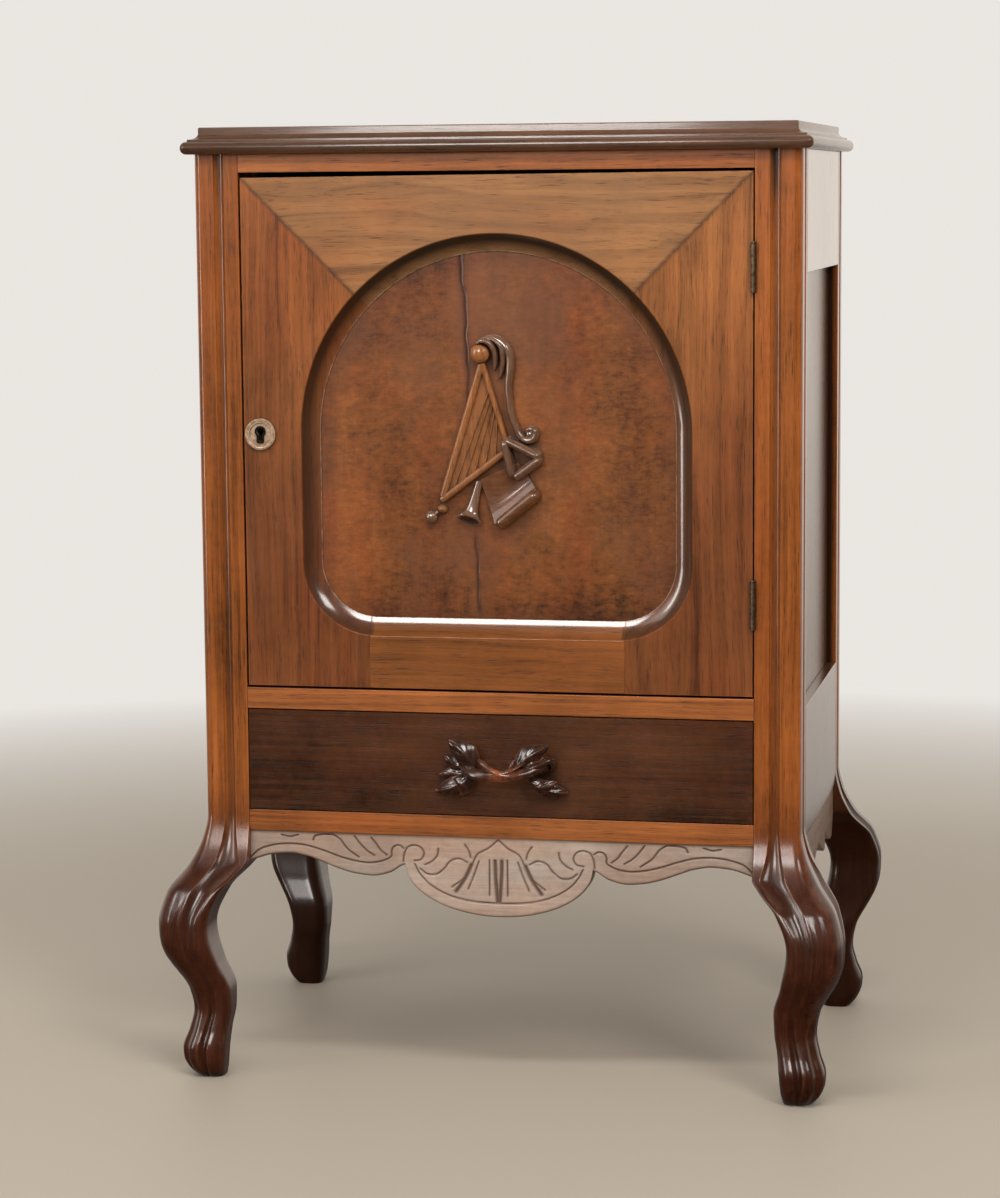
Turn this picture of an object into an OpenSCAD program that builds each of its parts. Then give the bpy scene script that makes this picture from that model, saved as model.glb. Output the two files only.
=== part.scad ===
// Music cabinet: a framed case with one arched door over one drawer, on four cabriole legs.
// Millimetres. The origin lies on the floor under the middle of the case.
// The front faces -Y, the viewer's right is +X and +Z is up.

/* [Case] */
// Width of the case over the corner posts
body_w = 535; // [480:5:620]
// Depth of the case over the corner posts
body_d = 345; // [300:5:420]
// Width of each square corner post
post_w = 40.6; // [38:0.2:48]
// Floor to the underside of the lower rail
leg_h = 226.6; // [220:0.2:236]
// Thickness of the rails above and below the drawer
rail_t = 19; // [14:0.5:24]
// Depth of those rails from front to back
rail_d = 60; // [45:1:90]
// Clear height of the drawer opening
drawer_bay_h = 91.6; // [80:0.2:130]
// Clear height of the door opening
door_bay_h = 454.6; // [430:0.2:520]
// Height of the rail above the door
top_rail_h = 16; // [12:0.5:28]
// Depth of the rail above the door
top_rail_d = 20; // [16:0.5:26]
// Length of the stub tenons on the rails
tenon_l = 8; // [5:0.5:12]
// Wood left above and below each stub tenon
tenon_shoulder = 4; // [3:0.5:5]

/* [Top board] */
// Thickness of the top board
top_t = 23.5; // [20:0.5:32]
// Overhang of the top board at the front and the sides
top_over = 10; // [6:0.5:20]
// Height of the rounded nose along the lower edge
nose_h = 11; // [8:0.5:14]
// Setback of the small ledge from the nose
ledge_in = 6; // [5:0.5:9]
// Height of the small ledge
ledge_h = 2; // [1:0.5:3]
// Setback of the upper tier from the nose
tier_in = 14; // [11:0.5:20]
// Height of the upper tier
tier_h = 5.5; // [3:0.5:7]
// Radius of the board's front corners in plan
top_corner_r = 5; // [2:0.5:12]

/* [Posts and legs] */
// Width of the flat strip beside the cove on each face of a post
post_flat = 13; // [9:0.5:15]
// Width of the cove along each face of a post
post_cove_w = 9.6; // [6:0.2:11]
// Depth of that cove
post_cove_d = 3.4; // [2:0.2:5]
// Radius of the rounded outer corner of a post
post_round = 7; // [4:0.5:10]
// Height at which the leg starts to swell outward, from the underside of the lower rail
knee_start = 11.4; // [4:0.2:17]
// Height at which the inner side of the leg leaves the post, from the underside of the lower rail
knee_break = -29.6; // [-40:0.2:-29.2]
// Height of the fullest part of the knee, from the underside of the lower rail
knee_z = -81.6; // [-96:0.2:-67]
// Swell of the knee beyond the post
knee_out = 39.5; // [25:0.5:48]
// Height of the hollow behind the knee, from the underside of the lower rail
knee_back_z = -85.6; // [-98:0.2:-71]
// Part of the leg that stays inside the post's outer face at the knee
knee_in = 8.4; // [5:0.2:16]
// Height of the narrow part in front of the ankle
ankle_z = 65; // [52:1:80]
// Swell of the ankle beyond the post
ankle_out = 14; // [8:0.5:20]
// Height of the fullest part behind the ankle
ankle_back_z = 72; // [58:1:86]
// Part of the ankle inside the post's outer face
ankle_in = 22.7; // [16:0.1:28]
// Height of the fullest part of the toe
toe_z = 25; // [18:1:34]
// Swell of the toe beyond the post
toe_out = 22.7; // [16:0.1:30]
// Part of the toe inside the post's outer face
toe_in = 16.9; // [12:0.1:22]
// Reach of the flat sole beyond the post
sole_out = 12; // [8:0.5:16]
// Part of the sole inside the post's outer face
sole_in = 13.5; // [9:0.5:18]
// Rounding of the leg's inner corners at the ankle
ankle_round = 7; // [3:0.5:9]

/* [Sides and back] */
// Height of the upper side rails
side_top_h = 105.2; // [60:0.2:130]
// Height of the lower side rails
side_low_h = 117.3; // [112:0.1:124]
// Thickness of the side rails
side_rail_t = 18; // [15.5:0.5:22]
// Depth of the recessed side panels behind the rails
side_recess = 9; // [4:0.5:9]
// Thickness of the side panels
panel_t = 6; // [3:0.5:6]
// Depth of the grooves that hold the panels and the rail tongues
groove_d = 6; // [4:0.5:8]
// Thickness of the back panel
back_t = 6; // [3:0.5:7]
// Depth of the rebate that holds the back panel
back_rebate = 8; // [7:0.5:12]
// Width of that rebate in the rear posts
back_lap = 8; // [5:0.5:14]
// Thickness of the rear rails
rear_rail_t = 20; // [14:0.5:26]
// Height of the upper rear rail
rear_top_h = 46; // [30:1:70]

/* [Aprons] */
// Thickness of the aprons
apron_t = 18; // [12:0.5:22]
// Setback of the aprons behind the post faces
apron_back = 2; // [0:0.5:6]
// Half width of the front apron's middle lobe
lobe_half = 84.5; // [60:0.5:100]
// Height of the points on each side of that lobe, from the underside of the lower rail
cusp_z = -27.6; // [-36:0.1:-21]
// Drop of the lobe below those points
lobe_drop = 45; // [30:1:60]
// Distance of the low points beside the lobe from the middle
dip_x = 115; // [106:1:140]
// Height of those low points, from the underside of the lower rail
dip_z = -39.1; // [-46:0.1:-31]
// Distance of the arches beside the legs from the middle
crest_x = 190; // [160:1:200]
// Height of those arches, from the underside of the lower rail
crest_z = -21.1; // [-28:0.1:-15]
// Height at which the front apron meets the legs, from the underside of the lower rail
apron_end_z = -28.6; // [-29:0.1:-22]
// Half width of the side apron's middle arch
side_dip_y = 57.5; // [40:0.5:70]
// Height of the side apron's middle arch, from the underside of the lower rail
side_crest_z = -32.6; // [-40:0.1:-23]
// Height of the side apron's low points, from the underside of the lower rail
side_dip_z = -49.6; // [-56:0.1:-43]
// Height of the points on each side of the middle arch, from the underside of the lower rail
side_cusp_z = -31.6; // [-40:0.1:-23]
// Distance of the low points beside the legs from the legs
side_low_y = 16.9; // [10:0.1:30]
// Height at which the side apron meets the legs, from the underside of the lower rail
side_end_z = -26.6; // [-29:0.1:-21]

/* [Interior] */
// Thickness of the cabinet floor
floor_t = 10; // [6:0.5:10]
// Thickness of the slotted boards that carry the shelves
rack_t = 10; // [8:0.5:14]
// Clearance between the top of those boards and the glue blocks under the top board
rack_gap = 2.9; // [1:0.1:12]
// Depth of the slots in those boards
slot_d = 5; // [3:0.5:7]
// Thickness of each shelf
shelf_t = 8; // [5:0.5:10]
// Height from the cabinet floor to the first shelf, and from shelf to shelf
shelf_step = 75; // [60:1:84]
// Gap between the closed door and the first edge of each shelf
shelf_back = 6; // [3:0.5:20]
// Width of the drawer runners
runner_w = 45; // [34:1:60]
// Height of the drawer guides above the runners
guide_h = 30; // [16:1:60]
// Width and height of the glue blocks under the top
block_w = 28; // [20:1:34]
// Height of the glue blocks
block_h = 24; // [16:1:26]

/* [Door] */
// Thickness of the door frame
door_t = 20; // [18:0.5:24]
// Gap between the door and the post on the hinge side
door_gap_hinge = 1.2; // [0.8:0.1:2]
// Gap between the door and the post on the lock side
door_gap_lock = 1.7; // [1:0.1:3]
// Gap under the door
door_gap_low = 2; // [1:0.5:4]
// Gap above the door at the hinge side
door_gap_top = 2.4; // [1:0.1:4]
// Extra gap above the door at the lock side, where the old door has dropped
door_drop = 2.2; // [0:0.1:3]
// Wood between each post and the outer edge of the arch's cove
arch_side = 52.9; // [45:0.1:76]
// Height of the arch's centre above the door's lower edge
arch_rise = 225.3; // [200:0.1:230]
// Height of the door's bottom rail
door_low_h = 46.3; // [38:0.1:70]
// Radius of the opening's lower corners at the outer edge of the cove
arch_corner_r = 66; // [40:1:80]
// Width of the cove round the opening
cove_w = 16; // [10:0.5:20]
// Depth of the cove round the opening
cove_d = 9.5; // [6:0.5:11]
// Small step between the cove and the door panel
cove_step = 1; // [0.5:0.5:2]
// How far the middle of the cove sinks below a straight bevel
cove_bow = 1.9; // [0.5:0.1:2.3]
// Half length of the bottom rail between its joints
door_joint_x = 114; // [100:1:125]
// Lap of the door panel behind the frame
panel_lap = 10; // [6:0.5:11]

/* [Lock] */
// Distance of the keyhole from the door's edge
key_in = 15.2; // [14:0.1:18]
// Height of the keyhole plate above the door's lower edge
key_rise = 224.1; // [180:0.1:260]
// Radius of the keyhole plate
plate_r = 13.75; // [11:0.25:14]
// Thickness of the keyhole plate
plate_t = 2.8; // [1.5:0.1:4]
// Radius of the round part of the keyhole
key_r = 3.2; // [2.8:0.1:4]
// Width of the slot of the keyhole
key_slot_w = 4.6; // [4.4:0.1:5.4]
// Height of the slot of the keyhole
key_slot_h = 8.5; // [6:0.5:10]
// Width of the lock case
lock_w = 34; // [31:1:36]
// Thickness of the lock case
lock_t = 11; // [9:0.5:13]
// Height of the lock bolt
bolt_h = 18; // [12:0.5:22]
// Thickness of the lock bolt
bolt_t = 4; // [3:0.5:5]
// Length of the lock bolt
bolt_l = 24; // [18:1:25]
// Travel of the lock bolt
bolt_throw = 7; // [4:0.5:9]

/* [Hinges] */
// Height of each hinge
hinge_h = 40; // [34:1:64]
// Height of the lower hinge's middle above the door's lower edge
hinge_low = 80; // [50:1:120]
// Height of the upper hinge's middle above the door's lower edge
hinge_high = 369; // [320:1:400]
// Thickness of the hinge leaves
leaf_t = 1.5; // [1:0.1:2]
// Width of the hinge leaves behind the front face
leaf_w = 16; // [12:0.5:19]
// Radius of the hinge barrel
barrel_r = 2.5; // [2.2:0.1:3]
// Radius of the hinge pin
pin_r = 1.25; // [1:0.05:1.5]
// Height of the button on each end of the pin
button_h = 1.8; // [1:0.1:3]

/* [Drawer] */
// Gap round the drawer front
drawer_gap = 0.9; // [0.5:0.1:2]
// Thickness of the drawer front
drawer_front_t = 18; // [15:0.5:22]
// Thickness of the drawer sides and back
drawer_side_t = 10; // [8:0.5:12]
// Height of the drawer sides
drawer_side_h = 76; // [60:1:80]
// Space between the back end of the drawer and the rear rail
drawer_space = 19; // [15:1:100]
// Thickness of the drawer bottom
drawer_bottom_t = 5; // [3:0.5:6]
// Height of the drawer bottom above the runners
drawer_bottom_up = 9; // [7:0.5:12]
// Distance of the drawer's stops from the middle
stop_x = 115; // [60:1:190]
// Width of each stop
stop_w = 30; // [15:1:50]
// Depth of each stop
stop_d = 20; // [10:1:40]
// Number of dovetails on each front corner of the drawer
tail_count = 3; // [2:1:4]
// Length of the dovetails
tail_l = 12; // [8:0.5:14]

/* [Handle] */
// Height of the bow handle's middle above the drawer bay's floor
handle_rise = 43.4; // [30:0.1:60]
// Distance of the handle's middle from the middle of the drawer
handle_x = 5.5; // [-10:0.5:10]
// Radius of the bow's centre line
bow_r = 34; // [28:0.5:44]
// Radius of the bow's bar
bow_bar_r = 4.3; // [3:0.1:5.5]
// Stand-out of the bow from the drawer front
bow_out = 27; // [20:0.5:32]
// Length of the handle's longest leaf
leaf_l = 39; // [30:1:39]
// Thickness of the round bases under the ends of the bow
handle_base_t = 8; // [6:0.5:10]

/* [Carving] */
// Height of the carved trophy's lowest point above the door's lower edge
trophy_rise = 141; // [130:1:160]
// Distance of the trophy's middle from the middle of the door
trophy_x = -10; // [-20:1:10]
// Height of the whole trophy
trophy_h = 164; // [120:1:175]
// Thickness of the harp's ground
trophy_t = 4; // [3:0.5:6]
// Height of the trophy's bars above the door panel
trophy_bar_t = 7.5; // [5:0.5:10]
// Height of the trophy's fullest parts above the door panel
trophy_full_t = 9.5; // [7:0.5:11]

/* [Fasteners] */
// Radius of the small brass screws
screw_r = 1.4; // [1:0.1:1.5]
// Radius of their heads
screw_head_r = 2.7; // [2.2:0.1:3]
// Length of the small brass screws
screw_l = 13; // [9:1:16]
// Radius of the iron screws under the top
top_screw_r = 2; // [1.5:0.1:2.5]
// Length of the iron screws under the top
top_screw_l = 39; // [28:1:42]
// Radius of the back panel's nails
nail_r = 0.9; // [0.6:0.1:1.2]
// Length of the back panel's nails
nail_l = 16; // [12:1:20]
// Distance of the nails from the back panel's upper and lower edges
nail_edge = 22; // [10:1:26]
// Height of the lowest nail in each rear post above the cabinet floor's underside
nail_first = 50; // [20:1:80]
// Distance from nail to nail up each rear post
nail_step = 120; // [80:1:130]

/* [Clearances] */
// Gap between a piece that moves and the piece that guides it
run_gap = 0.3; // [0.2:0.05:0.6]
// Clearance round the lock bolt
bolt_gap = 0.2; // [0.15:0.05:0.4]
// Radial clearance of the hinge pin in the door's knuckle
pin_gap = 0.05; // [0.02:0.01:0.1]
// Space left past the end of a tenon, tongue or screw hole
end_gap = 0.5; // [0:0.1:1]

/* [Hidden] */
$fn = 48;
cut = 1;
half_w = body_w / 2;
half_d = body_d / 2;
front_y = -half_d;
post_x = half_w - post_w;
post_y = half_d - post_w;
swell_z = leg_h + knee_start;
break_z = leg_h + knee_break;
knee_full_z = leg_h + knee_z;
knee_hollow_z = leg_h + knee_back_z;
side_low = post_y - side_low_y;
drawer_bay_z = leg_h + rail_t;
middle_rail_z = drawer_bay_z + drawer_bay_h;
door_bay_z = middle_rail_z + rail_t;
top_rail_z = door_bay_z + door_bay_h;
body_h = top_rail_z + top_rail_h;
side_in_x = half_w - side_rail_t;
panel_x = half_w - side_recess - panel_t;
side_low_top = leg_h + side_low_h;
side_high_z = body_h - side_top_h;
floor_z = side_low_top - floor_t;
rear_rail_y = half_d - back_rebate;
rear_front_y = rear_rail_y - rear_rail_t;

door_x0 = door_gap_lock - post_x;
door_x1 = post_x - door_gap_hinge;
door_z0 = door_bay_z + door_gap_low;
door_z1 = top_rail_z - door_gap_top;
arch_r = post_x - arch_side;
arch_z = door_z0 + arch_rise;
arch_low_z = door_z0 + door_low_h;
panel_in = cove_d + cove_step;
mitre = 120;
door_panel_x = arch_r - cove_w + panel_lap;
door_panel_z0 = arch_low_z + cove_w - panel_lap;
door_panel_z1 = arch_z + arch_r - cove_w + panel_lap;
key_x = door_x0 + key_in;
key_z = door_z0 + key_rise;
key_top_z = key_z + 2.2;
bolt_z = key_top_z + key_r + 1;
bolt_in = door_t - lock_t + 3.5;
lock_z0 = key_z - 22;
lock_z1 = bolt_z + bolt_h + 4;
lock_screw_x = door_x0 + lock_w - 4;
strike_t = 1.2;
strike_side = 9;
hinge_x = post_x - door_gap_hinge / 2;
hinge_y = front_y - barrel_r - run_gap;
knuckle_h = (hinge_h - 2 * run_gap) / 3;
screw_head_h = leaf_t - 0.1;

rack_y0 = front_y + door_t + 2 * run_gap;
rack_top = body_h - block_h - rack_gap;
shelf_count = 5;
drawer_x = post_x - drawer_gap;
drawer_z0 = drawer_bay_z + run_gap;
drawer_in_x = drawer_x - drawer_side_t;
drawer_bottom_z = drawer_z0 + drawer_bottom_up;
drawer_back_y = rear_front_y - drawer_space;
bottom_groove = 4;
handle_z = drawer_bay_z + handle_rise;
bow_angle = asin((bow_r + bow_bar_r - bow_out + 3) / bow_r);
handle_end = bow_r * cos(bow_angle);
trophy_z = door_z0 + trophy_rise;
trophy_drawn_h = 164;
trophy_k = trophy_h / trophy_drawn_h;
leaf_drawn_l = 39;
leaf_k = leaf_l / leaf_drawn_l;

walnut = [0.56, 0.31, 0.16];
red_walnut = [0.42, 0.22, 0.13];
dark_walnut = [0.27, 0.14, 0.09];
grey_walnut = [0.42, 0.33, 0.29];
plain_wood = [0.62, 0.47, 0.31];
aged_brass = [0.48, 0.38, 0.22];
iron = [0.3, 0.3, 0.3];

// A box given by its lowest and highest corners
module span(low, high) {
    translate(low)
        cube(high - low);
}

// Children drawn on the front face: x across, y up the front, z out towards the viewer
module facing() {
    translate([0, front_y, 0])
        rotate([90, 0, 0])
            children();
}

// Children made for the rear right corner, moved to another corner of the case
module at_corner(right, rear) {
    mirror([right ? 0 : 1, 0, 0])
        mirror([0, rear ? 0 : 1, 0])
            children();
}

// Children made for the right side, moved to the left side where asked
module at_side(right) {
    mirror([right ? 0 : 1, 0, 0])
        children();
}

// A smooth step from a at t = 0 to b at t = 1, level at both ends
function ease(a, b, t) = a + (b - a) * t * t * (3 - 2 * t);
// A quarter sine from a at t = 0 to b at t = 1, level at b
function settle(a, b, t) = a + (b - a) * sin(90 * t);
// Where z lies between two heights, from 0 to 1
function part(z, z0, z1) = (z - z0) / (z1 - z0);

// Swell of the leg beyond the post at height z
function leg_out(z) =
    z >= swell_z ? 0
    : z >= knee_full_z ? ease(knee_out, 0, part(z, knee_full_z, swell_z))
    : z >= ankle_z ? ease(ankle_out, knee_out, part(z, ankle_z, knee_full_z))
    : z >= toe_z ? ease(toe_out, ankle_out, part(z, toe_z, ankle_z))
    : ease(sole_out, toe_out, part(z, 0, toe_z));

// Part of the leg inside the post's outer face at height z
function leg_in(z) =
    z >= break_z ? post_w
    : z >= knee_hollow_z ? settle(post_w, knee_in, part(z, break_z, knee_hollow_z))
    : z >= ankle_back_z ? ease(ankle_in, knee_in, part(z, ankle_back_z, knee_hollow_z))
    : z >= toe_z ? ease(toe_in, ankle_in, part(z, toe_z, ankle_back_z))
    : ease(sole_in, toe_in, part(z, 0, toe_z));

// Rounding of the leg's inner corners at height z
function leg_round(z) = z >= break_z ? 0.4 : ease(ankle_round, 0.4, max(0, part(z, ankle_z, break_z)));

// Points of an arc round a centre
function arc(centre, r, a0, a1, steps) =
    [for (i = [0:steps]) centre + r * [cos(a0 + (a1 - a0) * i / steps), sin(a0 + (a1 - a0) * i / steps)]];

// Outline of a post or leg w wide, from its outer corner inwards, with inner corners rounded by r
function post_outline(w, r) =
    let (k = w / post_w)
    let (cove_a = (post_w - post_flat) * k)
    let (cove_b = (post_w - post_flat - post_cove_w) * k)
    let (dips = [for (i = [0:6]) [cove_a + (cove_b - cove_a) * i / 6, post_cove_d * k * sqrt(sin(30 * i))]])
    concat(
        arc([w - r, r], r, 0, -90, 3),
        dips,
        arc([post_round * k, post_round * k], post_round * k, 270, 180, 5),
        [for (i = [6:-1:0]) [dips[i][1], dips[i][0]]],
        arc([r, w - r], r, 180, 90, 3),
        arc([w - r, w - r], r, 90, 0, 3));

// The outline at height z, placed on the rear right corner of the case
function leg_ring(z) =
    let (out = leg_out(z))
    [for (p = post_outline(leg_in(z) + out, leg_round(z))) [half_w + out - p[0], half_d + out - p[1], z]];

leg_heights = concat(
    [0, 3, 8, 14],
    [for (i = [0:4]) ease(toe_z, ankle_z, i / 4) * 0.5 + (toe_z + (ankle_z - toe_z) * i / 4) * 0.5],
    [for (i = [1:7]) ankle_z + (knee_hollow_z - ankle_z) * i / 7],
    [for (i = [1:6]) knee_hollow_z + (break_z - knee_hollow_z) * i / 6],
    [for (i = [1:4]) break_z + (swell_z - break_z) * i / 4]);

// The curved leg below the post: rings of the same outline joined by triangles
module cabriole() {
    rings = [for (z = leg_heights) leg_ring(z)];
    n = len(rings[0]);
    last = len(rings) - 1;
    centres = [for (z = [leg_heights[0], swell_z])
        let (middle = (leg_in(z) - leg_out(z)) / 2)
        [half_w - middle, half_d - middle, z]];
    low_centre = n * (last + 1);
    sides = [for (i = [0:last - 1], j = [0:n - 1])
        let (a = i * n + j, b = i * n + (j + 1) % n)
        each [[a, b, b + n], [a, b + n, a + n]]];
    foot = [for (j = [0:n - 1]) [(j + 1) % n, j, low_centre]];
    head = [for (j = [0:n - 1]) [last * n + j, last * n + (j + 1) % n, low_centre + 1]];
    polyhedron(concat([for (ring = rings, p = ring) p], centres), concat(sides, foot, head), convexity = 6);
}

module corner_leg() {
    cabriole();
    translate([0, 0, swell_z])
        linear_extrude(body_h - swell_z)
            polygon([for (p = leg_ring(swell_z)) [p[0], p[1]]]);
}

// The groove down a post for the side panel and the tongues of the side rails
module post_groove() {
    span([panel_x, post_y - cut, leg_h], [panel_x + panel_t, post_y + groove_d + end_gap, body_h + cut]);
}

// A rail between two posts with a stub tenon on each end; grow lengthens the tenons
module rail(y0, y1, z0, z1, grow = 0) {
    tenon_x = post_x + tenon_l + grow;
    span([-post_x, y0, z0], [post_x, y1, z1]);
    span([-tenon_x, y0 + tenon_shoulder, z0 + tenon_shoulder],
        [tenon_x, y1 - tenon_shoulder, z1 - tenon_shoulder]);
}

module front_rail_at(z, grow = 0) {
    span([-post_x, front_y, z], [post_x, front_y + rail_d, z + rail_t]);
    rail(front_y, front_y + post_w - tenon_shoulder, z, z + rail_t, grow);
}

module front_mortises() {
    front_rail_at(leg_h, end_gap);
    front_rail_at(middle_rail_z, end_gap);
    rail(front_y, front_y + top_rail_d, top_rail_z, body_h, end_gap);
}

module rear_mortises() {
    rail(rear_front_y, rear_rail_y, body_h - rear_top_h, body_h, end_gap);
    rail(rear_front_y, rear_rail_y, leg_h, floor_z, end_gap);
}

// A countersunk screw with its head's face at the origin, pointing along +Z
module screw(r, l, head_r, head_h) {
    cylinder(h = head_h, r1 = head_r, r2 = r);
    translate([0, 0, head_h])
        cylinder(h = l - head_h, r = r);
}

module small_screw() {
    screw(screw_r, screw_l, screw_head_r, screw_head_h);
}

hinge_centres = [door_z0 + hinge_low, door_z0 + hinge_high];

// The small screws of the hinges, on the frame side or on the door side
module hinge_screws(on_door) {
    for (z = hinge_centres, s = [-1, 1])
        translate([on_door ? door_x1 : post_x, front_y + leaf_w * 0.58, z + s * hinge_h * 0.3])
            rotate([0, on_door ? -90 : 90, 0])
                small_screw();
}

module strike_screws() {
    for (z = [bolt_z - strike_side / 2 - 1, bolt_z + bolt_h + strike_side / 2 + 1])
        translate([-post_x, front_y + bolt_in + bolt_t / 2, z])
            rotate([0, -90, 0])
                screw(screw_r, screw_l, screw_head_r, strike_t - 0.1);
}

module lock_screws() {
    for (z = [lock_z0 + 5, lock_z1 - 5])
        translate([lock_screw_x, front_y + door_t, z])
            rotate([90, 0, 0])
                screw(screw_r, lock_t + 5, screw_head_r, screw_head_h);
}

// The flat part of a hinge leaf, which is let into the wood
module leaf_flat(on_door, z) {
    x0 = on_door ? door_x1 - leaf_t : post_x;
    span([x0, front_y, z - hinge_h / 2], [x0 + leaf_t, front_y + leaf_w, z + hinge_h / 2]);
}

// A barrel knuckle and the neck that joins it to its leaf, between two heights
module knuckle(on_door, z0, z1, bore) {
    x0 = on_door ? door_x1 - leaf_t : post_x;
    difference() {
        union() {
            translate([hinge_x, hinge_y, z0])
                cylinder(h = z1 - z0, r = barrel_r);
            span([x0, hinge_y, z0], [x0 + leaf_t, front_y, z1]);
        }
        translate([hinge_x, hinge_y, z0 - cut])
            cylinder(h = z1 - z0 + 2 * cut, r = bore);
    }
}

module frame_leaf(z) {
    difference() {
        union() {
            leaf_flat(false, z);
            knuckle(false, z - hinge_h / 2, z - hinge_h / 2 + knuckle_h, pin_r);
            knuckle(false, z + hinge_h / 2 - knuckle_h, z + hinge_h / 2, pin_r);
        }
        hinge_screws(false);
    }
}

module door_leaf(z) {
    difference() {
        union() {
            leaf_flat(true, z);
            knuckle(true, z - knuckle_h / 2, z + knuckle_h / 2, pin_r + pin_gap);
        }
        hinge_screws(true);
    }
}

module hinge_pin(z) {
    translate([hinge_x, hinge_y, z - hinge_h / 2]) {
        cylinder(h = hinge_h, r = pin_r);
        for (end = [0, 1])
            translate([0, 0, end * (hinge_h + button_h) - button_h])
                cylinder(h = button_h, r = barrel_r - bolt_gap);
    }
}

// The pocket in the post behind the strike plate, and its plate
module strike_pocket() {
    y0 = front_y + bolt_in - 4 * bolt_gap;
    span([-post_x - bolt_throw - 5, y0, bolt_z - 4 * bolt_gap],
        [-post_x + cut, y0 + bolt_t + 8 * bolt_gap, bolt_z + bolt_h + 4 * bolt_gap]);
}

module strike_blank() {
    middle = front_y + bolt_in + bolt_t / 2;
    span([-post_x - strike_t, middle - strike_side + cut, bolt_z - strike_side],
        [-post_x, middle + strike_side - cut, bolt_z + bolt_h + strike_side]);
}

module front_left_leg() {
    color(walnut)
        difference() {
            at_corner(false, false)
                corner_leg();
            at_corner(false, false)
                post_groove();
            front_mortises();
            strike_pocket();
            strike_blank();
            strike_screws();
        }
}

module front_right_leg() {
    color(walnut)
        difference() {
            at_corner(true, false)
                corner_leg();
            at_corner(true, false)
                post_groove();
            front_mortises();
            for (z = hinge_centres)
                leaf_flat(false, z);
            hinge_screws(false);
        }
}

module rear_leg(right) {
    color(walnut)
        difference() {
            at_corner(right, true)
                corner_leg();
            at_corner(right, true)
                post_groove();
            rear_mortises();
            at_side(right)
                span([post_x - cut, rear_rail_y, leg_h], [post_x + back_lap, half_d + cut, body_h + cut]);
            back_nails_all();
        }
}

module top_front_rail() {
    color(walnut)
        rail(front_y, front_y + top_rail_d, top_rail_z, body_h);
}

module middle_rail() {
    color(walnut)
        front_rail_at(middle_rail_z);
}

module lower_rail() {
    color(walnut)
        front_rail_at(leg_h);
}

module rear_top_rail() {
    color(plain_wood)
        difference() {
            rail(rear_front_y, rear_rail_y, body_h - rear_top_h, body_h);
            back_nails_all();
        }
}

module rear_bottom_rail() {
    color(plain_wood)
        difference() {
            rail(rear_front_y, rear_rail_y, leg_h, floor_z);
            back_nails_all();
        }
}

module side_panel(right) {
    reach = post_y + groove_d;
    color(walnut)
        at_side(right)
            span([panel_x, -reach, side_low_top - groove_d], [panel_x + panel_t, reach, side_high_z + groove_d]);
}

// A side rail with a tongue on each end and a groove along one edge for the panel
module side_rail(right, z0, z1) {
    reach = post_y + groove_d;
    color(walnut)
        difference() {
            at_side(right)
                union() {
                    span([side_in_x, -post_y, z0], [half_w, post_y, z1]);
                    span([panel_x, -reach, z0], [panel_x + panel_t, reach, z1]);
                }
            side_panel(right);
            cabinet_floor();
        }
}

module back_panel() {
    reach = post_x + back_lap;
    color(plain_wood)
        difference() {
            span([-reach, rear_rail_y, leg_h + 3], [reach, rear_rail_y + back_t, body_h - 1]);
            back_nails_all();
        }
}

// Nails through the back panel into the rear rails and the rear posts
module back_nails_all() {
    rows = [leg_h + nail_edge, body_h - nail_edge];
    posts = [for (i = [0:3]) floor_z + nail_first + i * nail_step];
    places = concat(
        [for (z = rows, i = [-2:2]) [i * post_x * 0.42, z]],
        [for (z = posts, s = [-1, 1]) [s * (post_x + back_lap / 2), z]]);
    for (p = places)
        translate([p[0], rear_rail_y + back_t, p[1]])
            rotate([90, 0, 0])
                screw(nail_r, nail_l, nail_r * 2, nail_r);
}

module back_nails() {
    color(iron)
        back_nails_all();
}

// Height of the front apron's lower edge at distance x from the middle, from its upper edge
function apron_edge(x) =
    x <= lobe_half ? cusp_z - lobe_drop * sqrt(1 - pow(x / lobe_half, 2))
    : x <= dip_x ? settle(cusp_z, dip_z, part(x, lobe_half, dip_x))
    : x <= crest_x ? ease(dip_z, crest_z, part(x, dip_x, crest_x))
    : crest_z + (apron_end_z - crest_z) * (1 - cos(90 * part(x, crest_x, post_x)));

module front_apron() {
    lobe = [for (a = [0:9:90]) lobe_half * sin(a)];
    stations = concat(lobe,
        [for (i = [1:4]) lobe_half + (dip_x - lobe_half) * i / 4],
        [for (i = [1:7]) dip_x + (crest_x - dip_x) * i / 7],
        [for (i = [1:5]) crest_x + (post_x - crest_x) * i / 5]);
    last = len(stations) - 1;
    right = [for (x = stations) [x, apron_edge(x)]];
    left = [for (i = [last:-1:1]) [-stations[i], apron_edge(stations[i])]];
    color(grey_walnut)
        translate([0, apron_back, leg_h])
            facing()
                translate([0, 0, -apron_t])
                    linear_extrude(apron_t)
                        polygon(concat([[-post_x, 0]], left, right, [[post_x, 0]]));
}

// Height of the side apron's lower edge at distance y from the middle, outside the middle arch, from its upper edge
function side_edge(y) =
    y <= side_low ? settle(side_cusp_z, side_dip_z, part(y, side_dip_y, side_low))
    : side_dip_z + (side_end_z - side_dip_z) * (1 - cos(90 * part(y, side_low, post_y)));

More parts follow.
